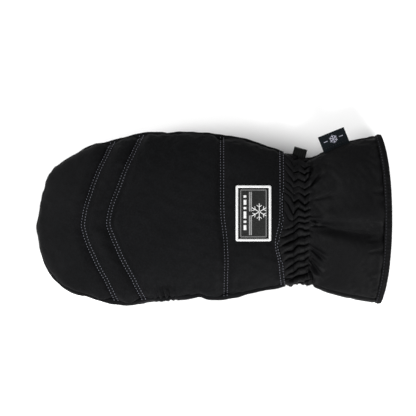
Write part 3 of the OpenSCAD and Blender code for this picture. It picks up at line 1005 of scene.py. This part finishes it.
def folds(points, angle):
    """Herringbone gathers. They start at the seam, run through the elastic and fade in the cuff."""
    x, y = points[..., 0], points[..., 1]
    back = smooth((np.sin(angle) + 0.25) / 0.5)
    lower = smooth((4 - y) / 16)
    drift = 0.9 * broad(points * 1.4) + 0.35 * fine(points)
    # Angles run from the little finger over the back, so length round the wrist falls as y rises.
    place = length_round(angle) + fold_shift(x, lower) * np.where(back > 0.5, 1, -1) + drift
    phase = np.mod(place / FOLD_PITCH, 1.0)
    from_crease = np.minimum(phase, 1 - phase) * FOLD_PITCH
    pillow = np.sin(math.pi * phase**0.7) ** 0.6 - 0.6 - 0.45 * bump(from_crease, 0, 0.5)
    past_seam = x - wrist_seam(y)
    rise = 0.35 * smooth(past_seam / 1.5) + 0.65 * smooth((past_seam - 1) / 5.5)
    fall = smooth((WRIST_END + 5 - x) / 7.0)
    stitched = sum(smooth((x - a + 1.2) / 1.5) * smooth((b + 1.2 - x) / 1.5) for a, b in ZIGZAG)
    uneven = 0.85 + 0.25 * broad(points * 2.1)
    return rise * fall * (3.1 * uneven * pillow - 0.55 * stitched + 0.7)


# Folds of the back of the cuff: start, end, width, depth and ridge.
CUFF_FOLDS = (
    ((90, -9.5), (164, -18), 8.6, 4.6, 0.5),
    ((86, -9.5), (106, -8), 1.5, 1.6, 0.6),
    ((86.5, -50), (88.5, -66), 1.5, 2.0, 0.6),
    ((85, -3.5), (97, -6.5), 1.4, 1.7, 0.8),
    ((86, -29), (99.5, -41), 1.6, 2.2, 0.9),
    ((85, -38), (94.5, -52.5), 1.6, 2.4, 0.9),
    ((84, -47), (91, -59), 1.5, 1.9, 0.8),
    ((86, 26), (98, 40), 1.8, 2.1, 0.8),
    ((88, 14), (110, 20.5), 2.4, 1.0, 0.7),
    ((85, 34), (89, 47), 1.5, 1.7, 0.8),
    ((139, -7.5), (154, -9.5), 1.8, 0.4, 0.8),
    ((136, -23), (153, -21), 2.0, 0.5, 0.8),
    ((137, -33), (153, -31), 1.8, 0.6, 0.8),
    ((139, -57), (151, -54), 1.8, 0.5, 0.8),
    ((141, 21), (154, 22), 2.2, 0.4, 0.8),
)


def creases(points):
    """The folds of the cuff, on its back and mirrored on its palm side."""
    mirrored = points * np.array([1, -1, 1]) + np.array([0, -4, 0])
    palm_side = 0.7 * smooth((20 - points[..., 2]) / 8)
    out = 0
    for fold in CUFF_FOLDS:
        out = out + crease(points, *fold) + palm_side * crease(mirrored, *fold, top_side=False)
    return out


def wrist_side(points):
    """The index side seam over the gathers: it runs up onto the back, with a lumpy edge below."""
    x, y = points[..., 0], points[..., 1]
    t = y - (-59.8 + 0.25 * (x - 55.6))
    shown = smooth((points[..., 2] - 20) / 6) * smooth((88 - x) / 2)
    lumps = 0.9 * smooth(-t / 2.5) * (1 + 0.5 * np.sin(x * TURN / 6.1 + 1))
    return shown * (lumps - 2.4 * bump(t, 0, 0.9))


def wrist_relief(points, angle):
    out = folds(points, angle) + wrist_side(points) + creases(points)
    t = signed(points, wrist_seam)
    out = out - 0.7 * bump(t, 0, 2.0) - 0.5 * bump(t, 0, 6.0)
    return out + smooth((points[..., 0] - 78) / 8) * cuff_sides(points)


def cuff_sides(points):
    return side_relief(points, SEAMS["cuff_little"]) + side_relief(points, SEAMS["cuff_index"])


def make_wrist():
    cell = 0.5
    start = float(s_of(WRIST_END))
    s, angle = ring_grid(wrist_seam, start, int(23 / cell), int(300 / cell))
    base = skin.at(s, angle)
    normals = ring_normals(base)
    outer = base + normals * wrist_relief(base, angle)[..., None]
    piece = pad_piece("wrist_gathers", outer, base - normals * 3.4, M["cuff_fabric"], wrap=True)
    return wrist_bent(piece, "wrist_shirring", "wrist_elastic", slot="cuff_fabric")


wrist = make_wrist()

# ---------------------------------------------------------------- the cuff


def hem_line(y, share=0.0):
    """Where the cuff meets its binding, or a place a share of the way across the binding."""
    u = (y + 3) / 76
    return END_X - HEM_WIDE - HEM_BACK - 8.5 * (0.6 * u**2 + 0.4 * u**4) + share * HEM_WIDE


def cuff_relief(points, angle):
    away = smooth((points[..., 0] - WRIST_END) / 5)
    out = away * (0.10 * broad(points) + 0.04 * fine(points))
    out = out + folds(points, angle) + creases(points) + cuff_sides(points)
    t = hem_line(points[..., 1]) - points[..., 0]
    dimples = 0.35 * np.sin(angle * 34 + 2 * broad(points)) * smooth((9 - t) / 9)
    return out - bump(t, 0, 1.6) + dimples


def make_cuff():
    for name, palm, nodes in (
        ("cuff_back_pad", False, ("cuff_back_panel", "cuff_padding")),
        ("cuff_palm_pad", True, ("cuff_palm_panel",)),
    ):
        start = float(s_of(WRIST_END))
        grid = lambda r, c: sheet_grid(start, hem_line, r, c, palm)
        cloth = {"pressure": 1.5, "slack": 0.002, "cap": 1.2}
        _, angle, base, normals, blown = blown_sheet(grid, 82, 186, (22, 44), **cloth)
        outer = base + blown + normals * cuff_relief(base, angle)[..., None]
        outer[..., 2] = np.maximum(outer[..., 2], FLOOR_GAP)
        piece = pad_piece(name, outer, base - normals * CUFF_DEPTH, M["cuff_fabric"])
        finished(piece, "cuff", *nodes, slot="cuff_fabric")


make_cuff()


def hem_section():
    """The section of the band: shares of its width, and heights over the cuff's face."""
    wall = CUFF_DEPTH + 1.3
    section = []
    for k in range(9):
        u = k / 8
        high = 0.35 + 0.75 * math.sin(math.pi * min(1, u * 1.1)) - 0.55 * bump(u, 0.28, 0.12)
        section.append((mix(-0.06, 0.80, u), high))
    for k in range(11):
        a = math.pi * k / 10
        section.append((0.80 + 0.20 * math.sin(a), mix(0.35, -wall, (1 - math.cos(a)) / 2)))
    return section + [(0.4, -wall - 0.2), (-0.02, -wall + 0.2), (-0.06, -wall / 2)]


def make_hem():
    """A doubled band, rolled over the end of the cuff."""
    cols = 620
    angle = ring_angles(cols)
    s0 = s_on(hem_line, lambda s: angle, cols, steps=7)
    s1 = s_on(lambda y: hem_line(y, 1), lambda s: angle, cols, END_X - 1, steps=7)
    start, end = skin.at(s0, angle), skin.at(s1, angle)
    normal = ring_normals(np.stack([start, end])).mean(0)
    normal /= np.linalg.norm(normal, axis=1, keepdims=True)
    ripple = 0.12 * np.sin(angle * 118 + 1.5 * broad(end)) + 0.2 * fine(end)
    rows = []
    for u, h in hem_section():
        lift = h + ripple * (1.0 if h > -1 else 0.3) * smooth((u + 0.06) / 0.2)
        rows.append(start + (end - start) * u + normal * lift[:, None])
    ring = np.stack(rows)
    ring[..., 2] = np.maximum(ring[..., 2], 0.12)
    faces = loop_faces(*ring.shape[:2])
    piece = add_piece("hem_band", ring.reshape(-1, 3), faces, M["hem_fabric"])
    return finished(piece, "cuff", "hem_binding", slot="cuff_fabric")


hem = make_hem()


def make_lining():
    """The fleece inside the wrist and the cuff."""
    s, angle = ring_grid(float(s_of(61.0)), lambda y: hem_line(y, 0.35), 90, 260)
    base = skin.at(s, angle)
    normals = ring_normals(base)
    soft = 0.4 * broad(base) + 0.35 * fine(base) + 0.15 * pucker(base)
    gather = 0.5 * np.sin(length_round(angle) * TURN / 6.0) * bump(base[..., 0], 77, 12)
    outer = base - normals * (LINING_DEPTH + 0.4)
    inner = base - normals * (LINING_DEPTH + 1.4 + LINING_T - soft - gather)[..., None]
    piece = pad_piece("cuff_fleece", outer, inner, M["fleece"], wrap=True)
    wrist_bent(piece, "wrist_lining", "cuff_lining", slot="fleece")


make_lining()

# ---------------------------------------------------------------- palm patch and thumb


def patch_angle(s, u, margin):
    """The angle of a place on the palm, a share of the way over the patch."""
    return mix(index_seam(s) + margin, little_seam(s) + TURN - margin, u)


def make_patch():
    """The wear patch sewn on the palm round the thumb."""
    low, high = node_box("palm_grip_patch")
    s, _ = sheet_grid(float(s_of(low[0])), float(s_of(high[0])), 94, 96, palm=True)
    base = skin.at(s, patch_angle(s, np.linspace(0, 1, 96)[None], PATCH_MARGIN))
    rounded = corner_cut(base)
    normals = normals_of(base)
    face = 1.0 + 0.25 * broad(base) + 0.2 * fine(base) - rounded
    outer = base + normals * face[..., None]
    outer[..., 2] = np.maximum(outer[..., 2], 0.05)
    inner = base - normals * 0.9
    keep = off_thumb(base)[:-1, :-1]
    piece = pad_piece("palm_patch", outer, inner, M["grip_leather"], keep=keep)
    return finished(piece, "hand", "palm_grip_patch", slot="grip_leather")


def corner_cut(points):
    """The patch is rolled down at its rim."""
    rows, cols = points.shape[:2]
    i, j = np.arange(rows)[:, None], np.arange(cols)[None]
    rim = np.minimum(np.minimum(i, rows - 1 - i) * 1.5, np.minimum(j, cols - 1 - j) * 1.5)
    return 0.9 * bump(rim, 0, 1.6) + 0.35 * bump(rim, 3.5, 0.9)


class Thumb:
    """The folded thumb: a flattened pod along its own axis, measured off its CAD panels."""

    def __init__(self):
        verts = np.array([v.co for v in frame["nodes"]["thumb_back_panel"].data.vertices]) / MM
        middle = (verts.min(0) + verts.max(0)) / 2
        away = middle[:2] - THUMB_AT
        self.ahead = away / np.linalg.norm(away)
        self.left = np.array([-self.ahead[1], self.ahead[0]])
        along, over = (verts[:, :2] - THUMB_AT) @ self.ahead, (verts[:, :2] - THUMB_AT) @ self.left
        self.far, self.near = along.max(), along.min()
        self.wide = (over.max() - over.min()) / 2
        self.thick = node_box("thumb_grip_panel")[1][2] / 2

    def at(self, u, v, depth=0.0):
        """A place on the thumb: u from 0 at the wrist end to 1 at its tip, v round its section."""
        w = -np.cos(math.pi * u)
        side = np.maximum(1 - np.abs(w) ** 2.6, 0) ** (1 / 2.6) * (self.wide - 2.0 * smooth(u) - depth)
        thick = np.maximum(1 - np.abs(w) ** 4, 0) ** 0.25 * (self.thick - depth)
        half = (self.far - self.near) / 2
        x = (self.far + self.near) / 2 + (half - depth) * w
        y = side * np.sign(np.cos(v)) * np.abs(np.cos(v)) ** 0.85
        z = self.thick + thick * np.sign(np.sin(v)) * np.abs(np.sin(v)) ** 0.8
        return np.stack([*(THUMB_AT[k] + x * self.ahead[k] + y * self.left[k] for k in (0, 1)), z], axis=-1)


thumb = Thumb()


def thumb_pad(name, v0, v1, material, hole):
    rows, cols = 92, 60
    u = np.linspace(0.004, 0.996, rows)[:, None] + np.zeros(cols)
    v = np.linspace(v0, v1, cols)[None] + np.zeros((rows, 1))
    base = thumb.at(u, v)
    normals = -normals_of(base)
    out = np.sign((normals * (base - thumb.at(u * 0 + 0.5, v, thumb.thick * 0.9))).sum(-1).mean())
    normals = normals * out
    rim = np.minimum(v - v0, v1 - v) * thumb.wide * 0.8
    sunk = 0.5 + 1.2 * bump(rim, 0, 1.3) + 0.35 * bump(rim, 3.4, 0.7)
    crease_lines = 0.5 * np.maximum(0, np.sin(u * 46 + 1.2 * broad(base))) ** 3 * bump(u, 0.42, 0.16)
    face = -sunk + 0.3 * np.minimum(0.6, broad(base)) + 0.22 * fine(base) - crease_lines
    outer = base + normals * np.minimum(face, 0.0)[..., None]
    inner = thumb.at(u, v, 3.2)
    keep = None
    if hole:
        keep = (past_hole(base) | (base[..., 2] < thumb.thick * 1.2))[:-1, :-1]
    return pad_piece(name, outer, inner, material, keep=keep)


def make_thumb():
    grip = thumb_pad("thumb_grip", 0.003, math.pi - 0.003, M["grip_leather"], True)
    finished(grip, "thumb", "thumb_grip_panel", slot="grip_leather")
    back = thumb_pad("thumb_back", math.pi + 0.003, TURN - 0.003, M["palm_fabric"], False)
    finished(back, "thumb", "thumb_back_panel", "thumb_padding", slot="softshell")
    return [grip, back]


def make_gusset():
    """The gathered fabric that joins the thumb to the palm, round the thumb's hole."""
    cols = 220
    angle = ring_angles(cols)
    low, high = node_box("thumb_collar")
    radius = (high[0] - low[0]) / 2
    # Its section: how far it stands out from the hole, and its height.
    waist = (
        (0.7, low[2] - 4.2),
        (1.5, low[2] - 2.4),
        (0.7, low[2] - 0.2),
        (-0.1, low[2] + 3),
        (0.4, low[2] + 6),
        (1.3, high[2] - 3.5),
    )
    rows = []
    for out, z in waist:
        gathers = 0.32 * np.sin(angle * 29 + 0.8 * np.sin(angle * 3)) * bump(z, low[2] + 2, 4)
        reach = radius + out + gathers
        x, y = THUMB_AT[0] + reach * np.cos(angle), THUMB_AT[1] + reach * np.sin(angle)
        rows.append(np.stack([x, y, z + 0 * angle], axis=1))
    u, v = over_grid(40, cols, wrap=True)
    rows = read_grid(np.array(rows), u * (len(waist) - 1), v * cols, wrap=True)
    middle = np.array([*THUMB_AT, 0])
    inner = rows + (middle - rows) * (1, 1, 0) * 1.3 / radius
    piece = pad_piece("thumb_gusset", rows[::-1], inner[::-1], M["softshell"], wrap=True)
    return finished(piece, "hand", "thumb_collar", slot="softshell")


thumb_pads = make_thumb()
patch = make_patch()
make_gusset()

# ---------------------------------------------------------------- sewing


def outward(points):
    """The skin's outward direction at points on it, taking each section as an ellipse."""
    s = s_of(points[:, 0])
    y, z, a, b = (np.interp(s, skin.s, skin.axis[:, k]) for k in range(4))
    n = np.stack([points[:, 0] * 0, (points[:, 1] - y) / a**2, (points[:, 2] - z) / b**2], axis=1)
    return n / np.linalg.norm(n, axis=1, keepdims=True)


def on_surface(tree, points, directions):
    """Where a surface lies under each point, looking in along the directions, and its normal."""
    places, normals = [], []
    for p, d in zip(points, directions):
        place, normal, _, _ = tree.ray_cast(Vector(p + d * 7), Vector(-d), 14)
        if place is None:
            place, normal, _, _ = tree.find_nearest(Vector(p))
        places.append(np.array(place))
        facing = np.array(normal) * (1 if np.dot(normal, d) > 0 else -1)
        normals.append(facing * 0.6 + d * 0.4)
    return np.array(places), np.array(normals)


BEAD_SIDES = 6
# Along a stitch: the place, the share of its width, and how far it lifts off the surface.
BEAD_PROFILE = (
    (-0.5, 0.35, -0.55),
    (-0.36, 0.85, -0.05),
    (0.0, 1.0, 0.12),
    (0.36, 0.85, -0.05),
    (0.5, 0.35, -0.55),
)


def beads(name, places, tangents, normals, long, wide, high, material):
    """Stitches: one short rounded length of thread at each place, dipping in at both ends."""
    verts, faces = [], []
    rings = len(BEAD_PROFILE)
    last = (rings - 1) * BEAD_SIDES
    ends = [list(range(BEAD_SIDES))[::-1], list(range(last, last + BEAD_SIDES))]
    rod = grid_faces(rings, BEAD_SIDES, True) + ends
    for place, tangent, normal in zip(places, tangents, normals):
        normal = normal / np.linalg.norm(normal)
        side = np.cross(normal, tangent)
        side /= max(np.linalg.norm(side), 1e-9)
        ahead = np.cross(side, normal)
        base = len(verts)
        for u, size, dip in BEAD_PROFILE:
            centre = place + ahead * long * u + normal * high * dip
            for k in range(BEAD_SIDES):
                a = TURN * k / BEAD_SIDES
                across_it = side * (wide / 2) * size * math.cos(a)
                verts.append(centre + across_it + normal * high * size * math.sin(a))
        faces += [[base + i for i in face] for face in rod]
    return add_piece(name, verts, faces, material)


def sewn(name, tree, lines, material, look=outward, **size):
    """Rows of stitches along lines, laid on a surface."""
    size = {"pitch": STITCH_PITCH, "long": STITCH_LONG, "wide": STITCH_WIDE, "high": 0.3, **size}
    pitch = size.pop("pitch")
    places, tangents, normals = [], [], []
    for line in lines:
        points = resampled(line, pitch)
        place, normal = on_surface(tree, points, look(points))
        places.append(place)
        normals.append(normal)
        tangents.append(np.gradient(place, axis=0))
    joined = [np.concatenate(part) for part in (places, tangents, normals)]
    return beads(name, *joined, *size.values(), material)


def below(points):
    return np.tile((0.0, 0.0, -1.0), (len(points), 1))


def above(points):
    return -below(points)


def make_hand_sewing():
    tree = surface(*hand.values())
    for name, rows in ROWS.items():
        lines = [across(LINES[name], offset) for offset in rows]
        wide = STITCH_WIDE * (0.75 if name == "back" else 1)
        piece = sewn(f"{name}_stitches", tree, lines, M["seam_thread"], wide=wide, high=0.42)
        finished(piece, "hand", slot="softshell")


def zigzag_line(low, high):
    """A zigzag round the wrist between two distances along it."""
    n = 1400
    place = np.linspace(0, RING_LENGTH[-1], n)
    angle = np.interp(place, RING_LENGTH, RING_ANGLE)
    step = np.abs(np.mod(place / FOLD_PITCH, 1.0) * 2 - 1)
    return skin.at(s_of(mix(low, high, step)), angle)


def make_wrist_sewing():
    lines = [zigzag_line(*ends) for ends in ZIGZAG]
    size = {"pitch": 1.75, "long": 1.35, "wide": 0.5, "high": 0.26}
    wrist_bent(sewn("elastic_stitches", surface(wrist), lines, M["black_thread"], **size), slot="elastic")


def make_hem_sewing():
    angle = np.linspace(0, TURN, 700)
    s = s_on(lambda y: hem_line(y, 0.16), lambda s: angle, 700, END_X - 5, steps=7)
    size = {"pitch": 2.7, "long": 1.2, "wide": 0.55, "high": 0.34}
    piece = sewn("hem_stitches", surface(hem), [skin.at(s, angle)], M["hem_thread"], **size)
    finished(piece, "cuff", slot="cuff_fabric")


def make_patch_sewing():
    low, high = node_box("palm_grip_patch")
    s0, s1 = float(s_of(low[0] + 3.2)), float(s_of(high[0] - 3.2))
    s, u = np.linspace(s0, s1, 200), np.linspace(0, 1, 160)
    inset = PATCH_MARGIN + 0.06
    lines = [skin.at(s, patch_angle(s, side, inset)) for side in (0, 1)]
    lines += [skin.at(np.full(160, end), patch_angle(end, u, inset)) for end in (s0, s1)]
    piece = sewn("patch_stitches", surface(patch), lines, M["dark_thread"], wide=0.6)
    finished(piece, "hand", slot="grip_leather")


def make_thumb_sewing():
    u = np.linspace(0.02, 0.98, 200)
    lines = [thumb.at(u, np.full(200, v)) for v in (math.pi + 0.16, TURN - 0.16)]
    tree = surface(thumb_pads[1])
    piece = sewn("thumb_stitches", tree, lines, M["dark_thread"], wide=0.6, look=below)
    finished(piece, "thumb", slot="softshell")


make_hand_sewing()
make_wrist_sewing()
make_hem_sewing()
make_patch_sewing()
make_thumb_sewing()

# ---------------------------------------------------------------- badge

BADGE_LOW, BADGE_HIGH = node_box("badge_edging")
BADGE_MID = (BADGE_LOW[:2] + BADGE_HIGH[:2]) / 2
BADGE_HALF = (BADGE_HIGH[:2] - BADGE_LOW[:2]) / 2 - (0.55, 0.75)


def badge_ground_height():
    """The panel's height under the badge, smoothed, as a grid over the badge."""
    tree = surface(hand["wrist_pad"])
    xs = np.linspace(-BADGE_HALF[0] - 2, BADGE_HALF[0] + 2, 17)
    ys = np.linspace(-BADGE_HALF[1] - 2, BADGE_HALF[1] + 2, 24)
    z = np.zeros((17, 24))
    for i, x in enumerate(xs):
        for j, y in enumerate(ys):
            high_up = Vector((BADGE_MID[0] + x, BADGE_MID[1] + y, FAR))
            z[i, j] = tree.ray_cast(high_up, Vector((0, 0, -1)))[0].z
    smoothed = blurred(blurred(z, 2.0, 0), 2.0, 1)
    return smoothed + 0.5 * np.max(z - smoothed)


BADGE_Z = badge_ground_height()


def on_badge(x, y, lift):
    """A point over the badge's own x and y, a height above the panel."""
    x, y = np.asarray(x, float), np.asarray(y, float)
    row = (x + BADGE_HALF[0] + 2) / (2 * BADGE_HALF[0] + 4) * 16
    col = (y + BADGE_HALF[1] + 2) / (2 * BADGE_HALF[1] + 4) * 23
    z = read_grid(BADGE_Z, row, col)
    return np.stack([BADGE_MID[0] + x, BADGE_MID[1] + y, z + lift], axis=-1)


def badge_plate(name, half_x, half_y, low, high, material):
    x = np.linspace(-half_x, half_x, 34)[:, None] + np.zeros(50)
    y = np.linspace(half_y, -half_y, 50)[None] + np.zeros((34, 1))
    ripple = 0.05 * np.sin(x * 2.1 + y) * np.sin(y * 1.7)
    return pad_piece(name, on_badge(x, y, high + ripple)[::-1], on_badge(x, y, low)[::-1], material)


SATIN_PITCH = 0.5
SATIN_ARC = 7


def satin(start, end, wide, lift, high):
    """One bar of satin stitch: a rounded bar whose threads lie across it. Returns points and faces."""
    a, b = np.array(start, float), np.array(end, float)
    run = np.linalg.norm(b - a)
    d = (b - a) / run
    side = np.array([-d[1], d[0]])
    n = max(6, int(run / (SATIN_PITCH / 3)))
    rows = []
    for i in range(n + 1):
        u = i / n
        ridge = 1 + 0.16 * math.sin(u * run * TURN / SATIN_PITCH)
        full = math.sqrt(max(0.0, 1 - abs(2 * u - 1) ** 14)) * 0.9 + 0.1
        ring = []
        for k in range(SATIN_ARC):
            t = math.pi * k / (SATIN_ARC - 1)
            p = a + d * run * u + side * (wide / 2) * math.cos(t) * (0.94 + 0.06 * ridge)
            ring.append((p[0], p[1], lift + high * math.sin(t) * ridge * full))
        for t in (0.25, -0.25):
            p = a + d * run * u - side * wide * t
            ring.append((p[0], p[1], lift - 0.3))
        rows.append(ring)
    grid = np.array(rows)
    points = on_badge(grid[..., 0], grid[..., 1], grid[..., 2])
    return points.reshape(-1, 3), rod_faces(*grid.shape[:2])


def embroidered(name, bars, lift, high, material, slot, node):
    verts, faces = [], []
    for start, end, wide in bars:
        points, bar_faces = satin(start, end, wide, lift, high)
        faces += [[i + len(verts) for i in f] for f in bar_faces]
        verts += list(points)
    finished(add_piece(name, verts, faces, material), "hand", node, slot=slot)


def badge_edge():
    """The overlocked rim: a rope of thread wound round the edge, with a ridge for each turn."""
    hx, hy = BADGE_HALF - EDGING / 2
    radius = 0.5
    corners = ((1, 1), (-1, 1), (-1, -1), (1, -1))
    line = []
    for q, (x, y) in enumerate(corners):
        for k in range(9):
            a = math.pi / 2 * (q + k / 8)
            reach = radius * math.cos(a), radius * math.sin(a)
            line.append((x * (hx - radius) + reach[0], y * (hy - radius) + reach[1], 0))
    line.append(line[0])
    path = resampled(np.array(line), 0.16)[:-1]
    ahead = np.roll(path, -1, 0) - np.roll(path, 1, 0)
    ahead /= np.linalg.norm(ahead, axis=1, keepdims=True)
    out = np.stack([ahead[:, 1], -ahead[:, 0]], axis=1)
    n, sides = len(path), 10
    turns = round(n * 0.16 / 0.62)
    rows = []
    for k in range(sides):
        t = TURN * k / sides
        wound = 1 + 0.10 * np.sin(np.arange(n) / n * turns * TURN + 0.8 * math.cos(t))
        reach = EDGING / 2 * math.cos(t) * wound
        lift = 0.35 + 0.85 * math.sin(t) * wound
        rows.append(on_badge(path[:, 0] + out[:, 0] * reach, path[:, 1] + out[:, 1] * reach, lift))
    return add_piece("badge_rim", np.concatenate(rows), loop_faces(sides, n), M["badge_white"])


def crystal(x, y, size, wide=0.75):
    """A six-armed snow crystal as bars of stitch."""
    bars = []
    for k in range(6):
        a = TURN * k / 6 + TURN / 12
        d = np.array([math.cos(a), math.sin(a)])
        centre = np.array([x, y])
        bars.append((centre + d * 0.5, centre + d * size, wide))
        for lean in (-1, 1):
            b = a + lean * 0.9
            root = centre + d * size * 0.55
            bars.append((root, root + 0.38 * size * np.array([math.cos(b), math.sin(b)]), wide * 0.8))
    return bars


# The column of dashes beside the bars: where each starts and how long it is.
DASHES = ((-15.0, 4.6), (-8.6, 2.2), (-4.6, 6.4), (3.6, 2.2), (7.6, 4.6), (14.0, 2.2))


def make_badge():
    hx, hy = BADGE_HALF
    inner = (hx - EDGING / 2, hy - EDGING / 2)
    ground = badge_plate("badge_ground", *inner, -1.6, 0.45, M["badge_black"])
    finished(ground, "hand", "badge_base", slot="badge_ground")
    field = badge_plate("badge_field", hx - 4.6, hy - 4.2, 0.3, 0.62, M["badge_ground"])
    finished(field, "hand", slot="badge_ground")
    finished(badge_edge(), "hand", "badge_edging", slot="badge_white")
    fx, fy = hx - 4.5, hy - 4.1
    outline = [((x, -fy), (x, fy), 1.25) for x in (-fx, fx)]
    outline += [((-fx, y), (fx, y), 1.25) for y in (fy, -fy)]
    bars = [((x, y), (x, y + 17.6), 1.15) for x in (-3.5, -2.0) for y in (-19.4, 1.8)]
    marks = [((-7.6, y), (-7.6, y + length), 2.6) for y, length in DASHES] + crystal(5.2, 1.4, 7.6)
    embroidered("badge_outline", outline, 0.45, 0.45, M["badge_grey"], "badge_grey", "badge_frame")
    embroidered("badge_bar", bars, 0.55, 0.5, M["badge_light"], "badge_white", "badge_bars")
    embroidered("badge_marks", marks, 0.55, 0.6, M["badge_white"], "badge_white", "badge_emblem")


make_badge()

# ---------------------------------------------------------------- side label and hanging loop


def flap_frame(joint):
    """A place and three directions for a strip sewn in at a joint: along its root, out, up."""
    j = JOINTS[joint]
    root = np.array(j["pos_m"]) / MM
    along = np.array(j["axis"], float)
    out = np.cross(np.array([0, 0, 1.0]), along)
    return root, along, out, np.array([0, 0, 1.0])


def strip(name, root, section, widths, material, lift):
    """A woven strip: a closed line of (out, up) points carried along its width."""
    place, along, out, up = root
    grid = np.array([
        [place + along * w + out * o + up * (h + lift(w, o)) for o, h in section] for w in widths
    ])
    return add_piece(name, grid.reshape(-1, 3), rod_faces(*grid.shape[:2]), material)


def folded_section(long, gap, thick, steps=22, turn=6, inset=-2.5):
    """A strip folded back on itself: two layers joined by a round fold at the far end."""
    outer, inner = [], []
    for k in range(steps):
        o = mix(inset, long - gap / 2 - thick, k / (steps - 1))
        outer.append((o, gap / 2 + thick))
        inner.append((o, gap / 2))
    bend = long - gap / 2 - thick
    for k in range(1, turn):
        a = math.pi / 2 - math.pi * k / turn
        outer.append((bend + (gap / 2 + thick) * math.cos(a), (gap / 2 + thick) * math.sin(a)))
        inner.append((bend + gap / 2 * math.cos(a), gap / 2 * math.sin(a)))
    for k in range(steps):
        o = mix(bend, inset, k / (steps - 1))
        outer.append((o, -gap / 2 - thick))
        inner.append((o, -gap / 2))
    return outer + inner[::-1]


LABEL_HALF = 12.5
LABEL_LONG = 13.4


def make_label():
    root = flap_frame("label_flip")
    place, along, out, up = root
    section = folded_section(LABEL_LONG, 0.25, 0.5)
    lift = lambda w, o: 0.35 * math.sin(w * 0.22) * (o / LABEL_LONG) + 0.10 * math.sin(w * 7.5)
    widths = np.linspace(-LABEL_HALF, LABEL_HALF, 101)
    label = strip("side_tag", root, section, widths, M["label_weave"], lift)
    sewn_flap(label, root, "side_label")
    tree = surface(label)
    marks = []
    for ends in label_mark():
        line = np.array([place + along * p[0] + out * p[1] + up * 2 for p in ends], float)
        marks.append(resampled(line, 0.42))
    places = np.concatenate([on_surface(tree, m, above(m))[0] for m in marks])
    tangents = np.concatenate([np.tile(np.cross(up, m[-1] - m[0]), (len(m), 1)) for m in marks])
    ups = np.tile(up, (len(places), 1))
    mark = beads("side_tag_mark", places, tangents, ups, 0.6, 0.5, 0.14, M["label_thread"])
    sewn_flap(mark, root)
    ends = (1 - LABEL_HALF, LABEL_HALF - 1)
    line = np.array([place + along * w + out * 1.2 + up * 2 for w in ends])
    size = {"pitch": 2.2, "long": 1.6}
    sewn_flap(sewn("side_tag_stitches", tree, [line], M["dark_thread"], look=above, **size), root)


def label_mark():
    """A small snow crystal, as on the badge, with a plain bar on each side."""
    arms = [(start, end) for start, end, _ in crystal(0, 6.9, 3.7)]
    return arms + [((-9.0, 6.9), (-5.8, 6.9)), ((5.8, 6.9), (9.0, 6.9))]


def sewn_flap(piece, root, *replaced):
    """The label stays where it was built beside its seam; the CAD nodes it replaces are hidden."""
    place, _, out, _ = root
    start, end = place - 1.2 * out, place + 1.8 * out
    bent(piece, "cuff", "side_label", start, end, *replaced, slot="label_weave")


def make_loop():
    root = flap_frame("loop_flip")
    section = folded_section(8.6, 4.0, 1.5, steps=12, turn=10, inset=-1.5)
    lift = lambda w, o: 0.28 * math.sin(w * TURN / 2.1)
    loop = strip("webbing_loop", root, section, np.linspace(-6, 6, 85), M["webbing"], lift)
    finished(loop, "hang_loop", "hang_loop", slot="webbing")


make_label()
make_loop()

# ---------------------------------------------------------------- CAD pieces that stay

KEPT = {
    "waterproof_insert": "insert_film",
    "hand_lining": "fleece",
    "thumb_insert": "insert_film",
    "thumb_lining": "fleece",
}

for node, material in KEPT.items():
    kept = frame["nodes"][node]
    kept.data.materials.clear()
    kept.data.materials.append(M[material])

# ---------------------------------------------------------------- studio


def make_floor():
    bpy.ops.mesh.primitive_plane_add(size=6, location=(0, 0, -0.0004))
    floor = bpy.context.object
    floor.name = "floor"
    material = new_material("floor", (1.0, 1.0, 1.0), 1.0, specular=0.0)
    floor.data.materials.append(material)
    return floor


def add_light(name, place, aim, size, power):
    lamp = bpy.data.lights.new(name, "AREA")
    lamp.shape = "RECTANGLE"
    lamp.size, lamp.size_y = size
    lamp.energy = power
    light = bpy.data.objects.new(name, lamp)
    light.location = place
    light.rotation_euler = (Vector(aim) - Vector(place)).to_track_quat("-Z", "Y").to_euler()
    bpy.context.scene.collection.objects.link(light)
    return light


def make_studio():
    floor = make_floor()
    lights = [
        add_light("key", (-1.2, 0.1, 1.0), (0, 0, 0), (0.7, 0.7), 24),
        add_light("low", (0.75, -1.25, 0.95), (0, 0, 0), (0.8, 0.8), 42),
    ]
    world = bpy.data.worlds.new("studio")
    world.use_nodes = True
    world.node_tree.nodes["Background"].inputs["Color"].default_value = (1, 1, 1, 1)
    world.node_tree.nodes["Background"].inputs["Strength"].default_value = 0.55
    bpy.context.scene.world = world


def make_camera():
    """Straight above the mitten, with the fingertips to the left."""
    lens, sensor = 400, 36
    cover = 0.3744
    camera = bpy.data.cameras.new("camera")
    camera.lens, camera.sensor_width = lens, sensor
    obj = bpy.data.objects.new("camera", camera)
    obj.location = (-0.00585, 0.0068, 0.030 + cover * lens / sensor)
    bpy.context.scene.collection.objects.link(obj)
    bpy.context.scene.camera = obj


make_studio()
make_camera()
bpy.context.scene.view_settings.view_transform = "Standard"
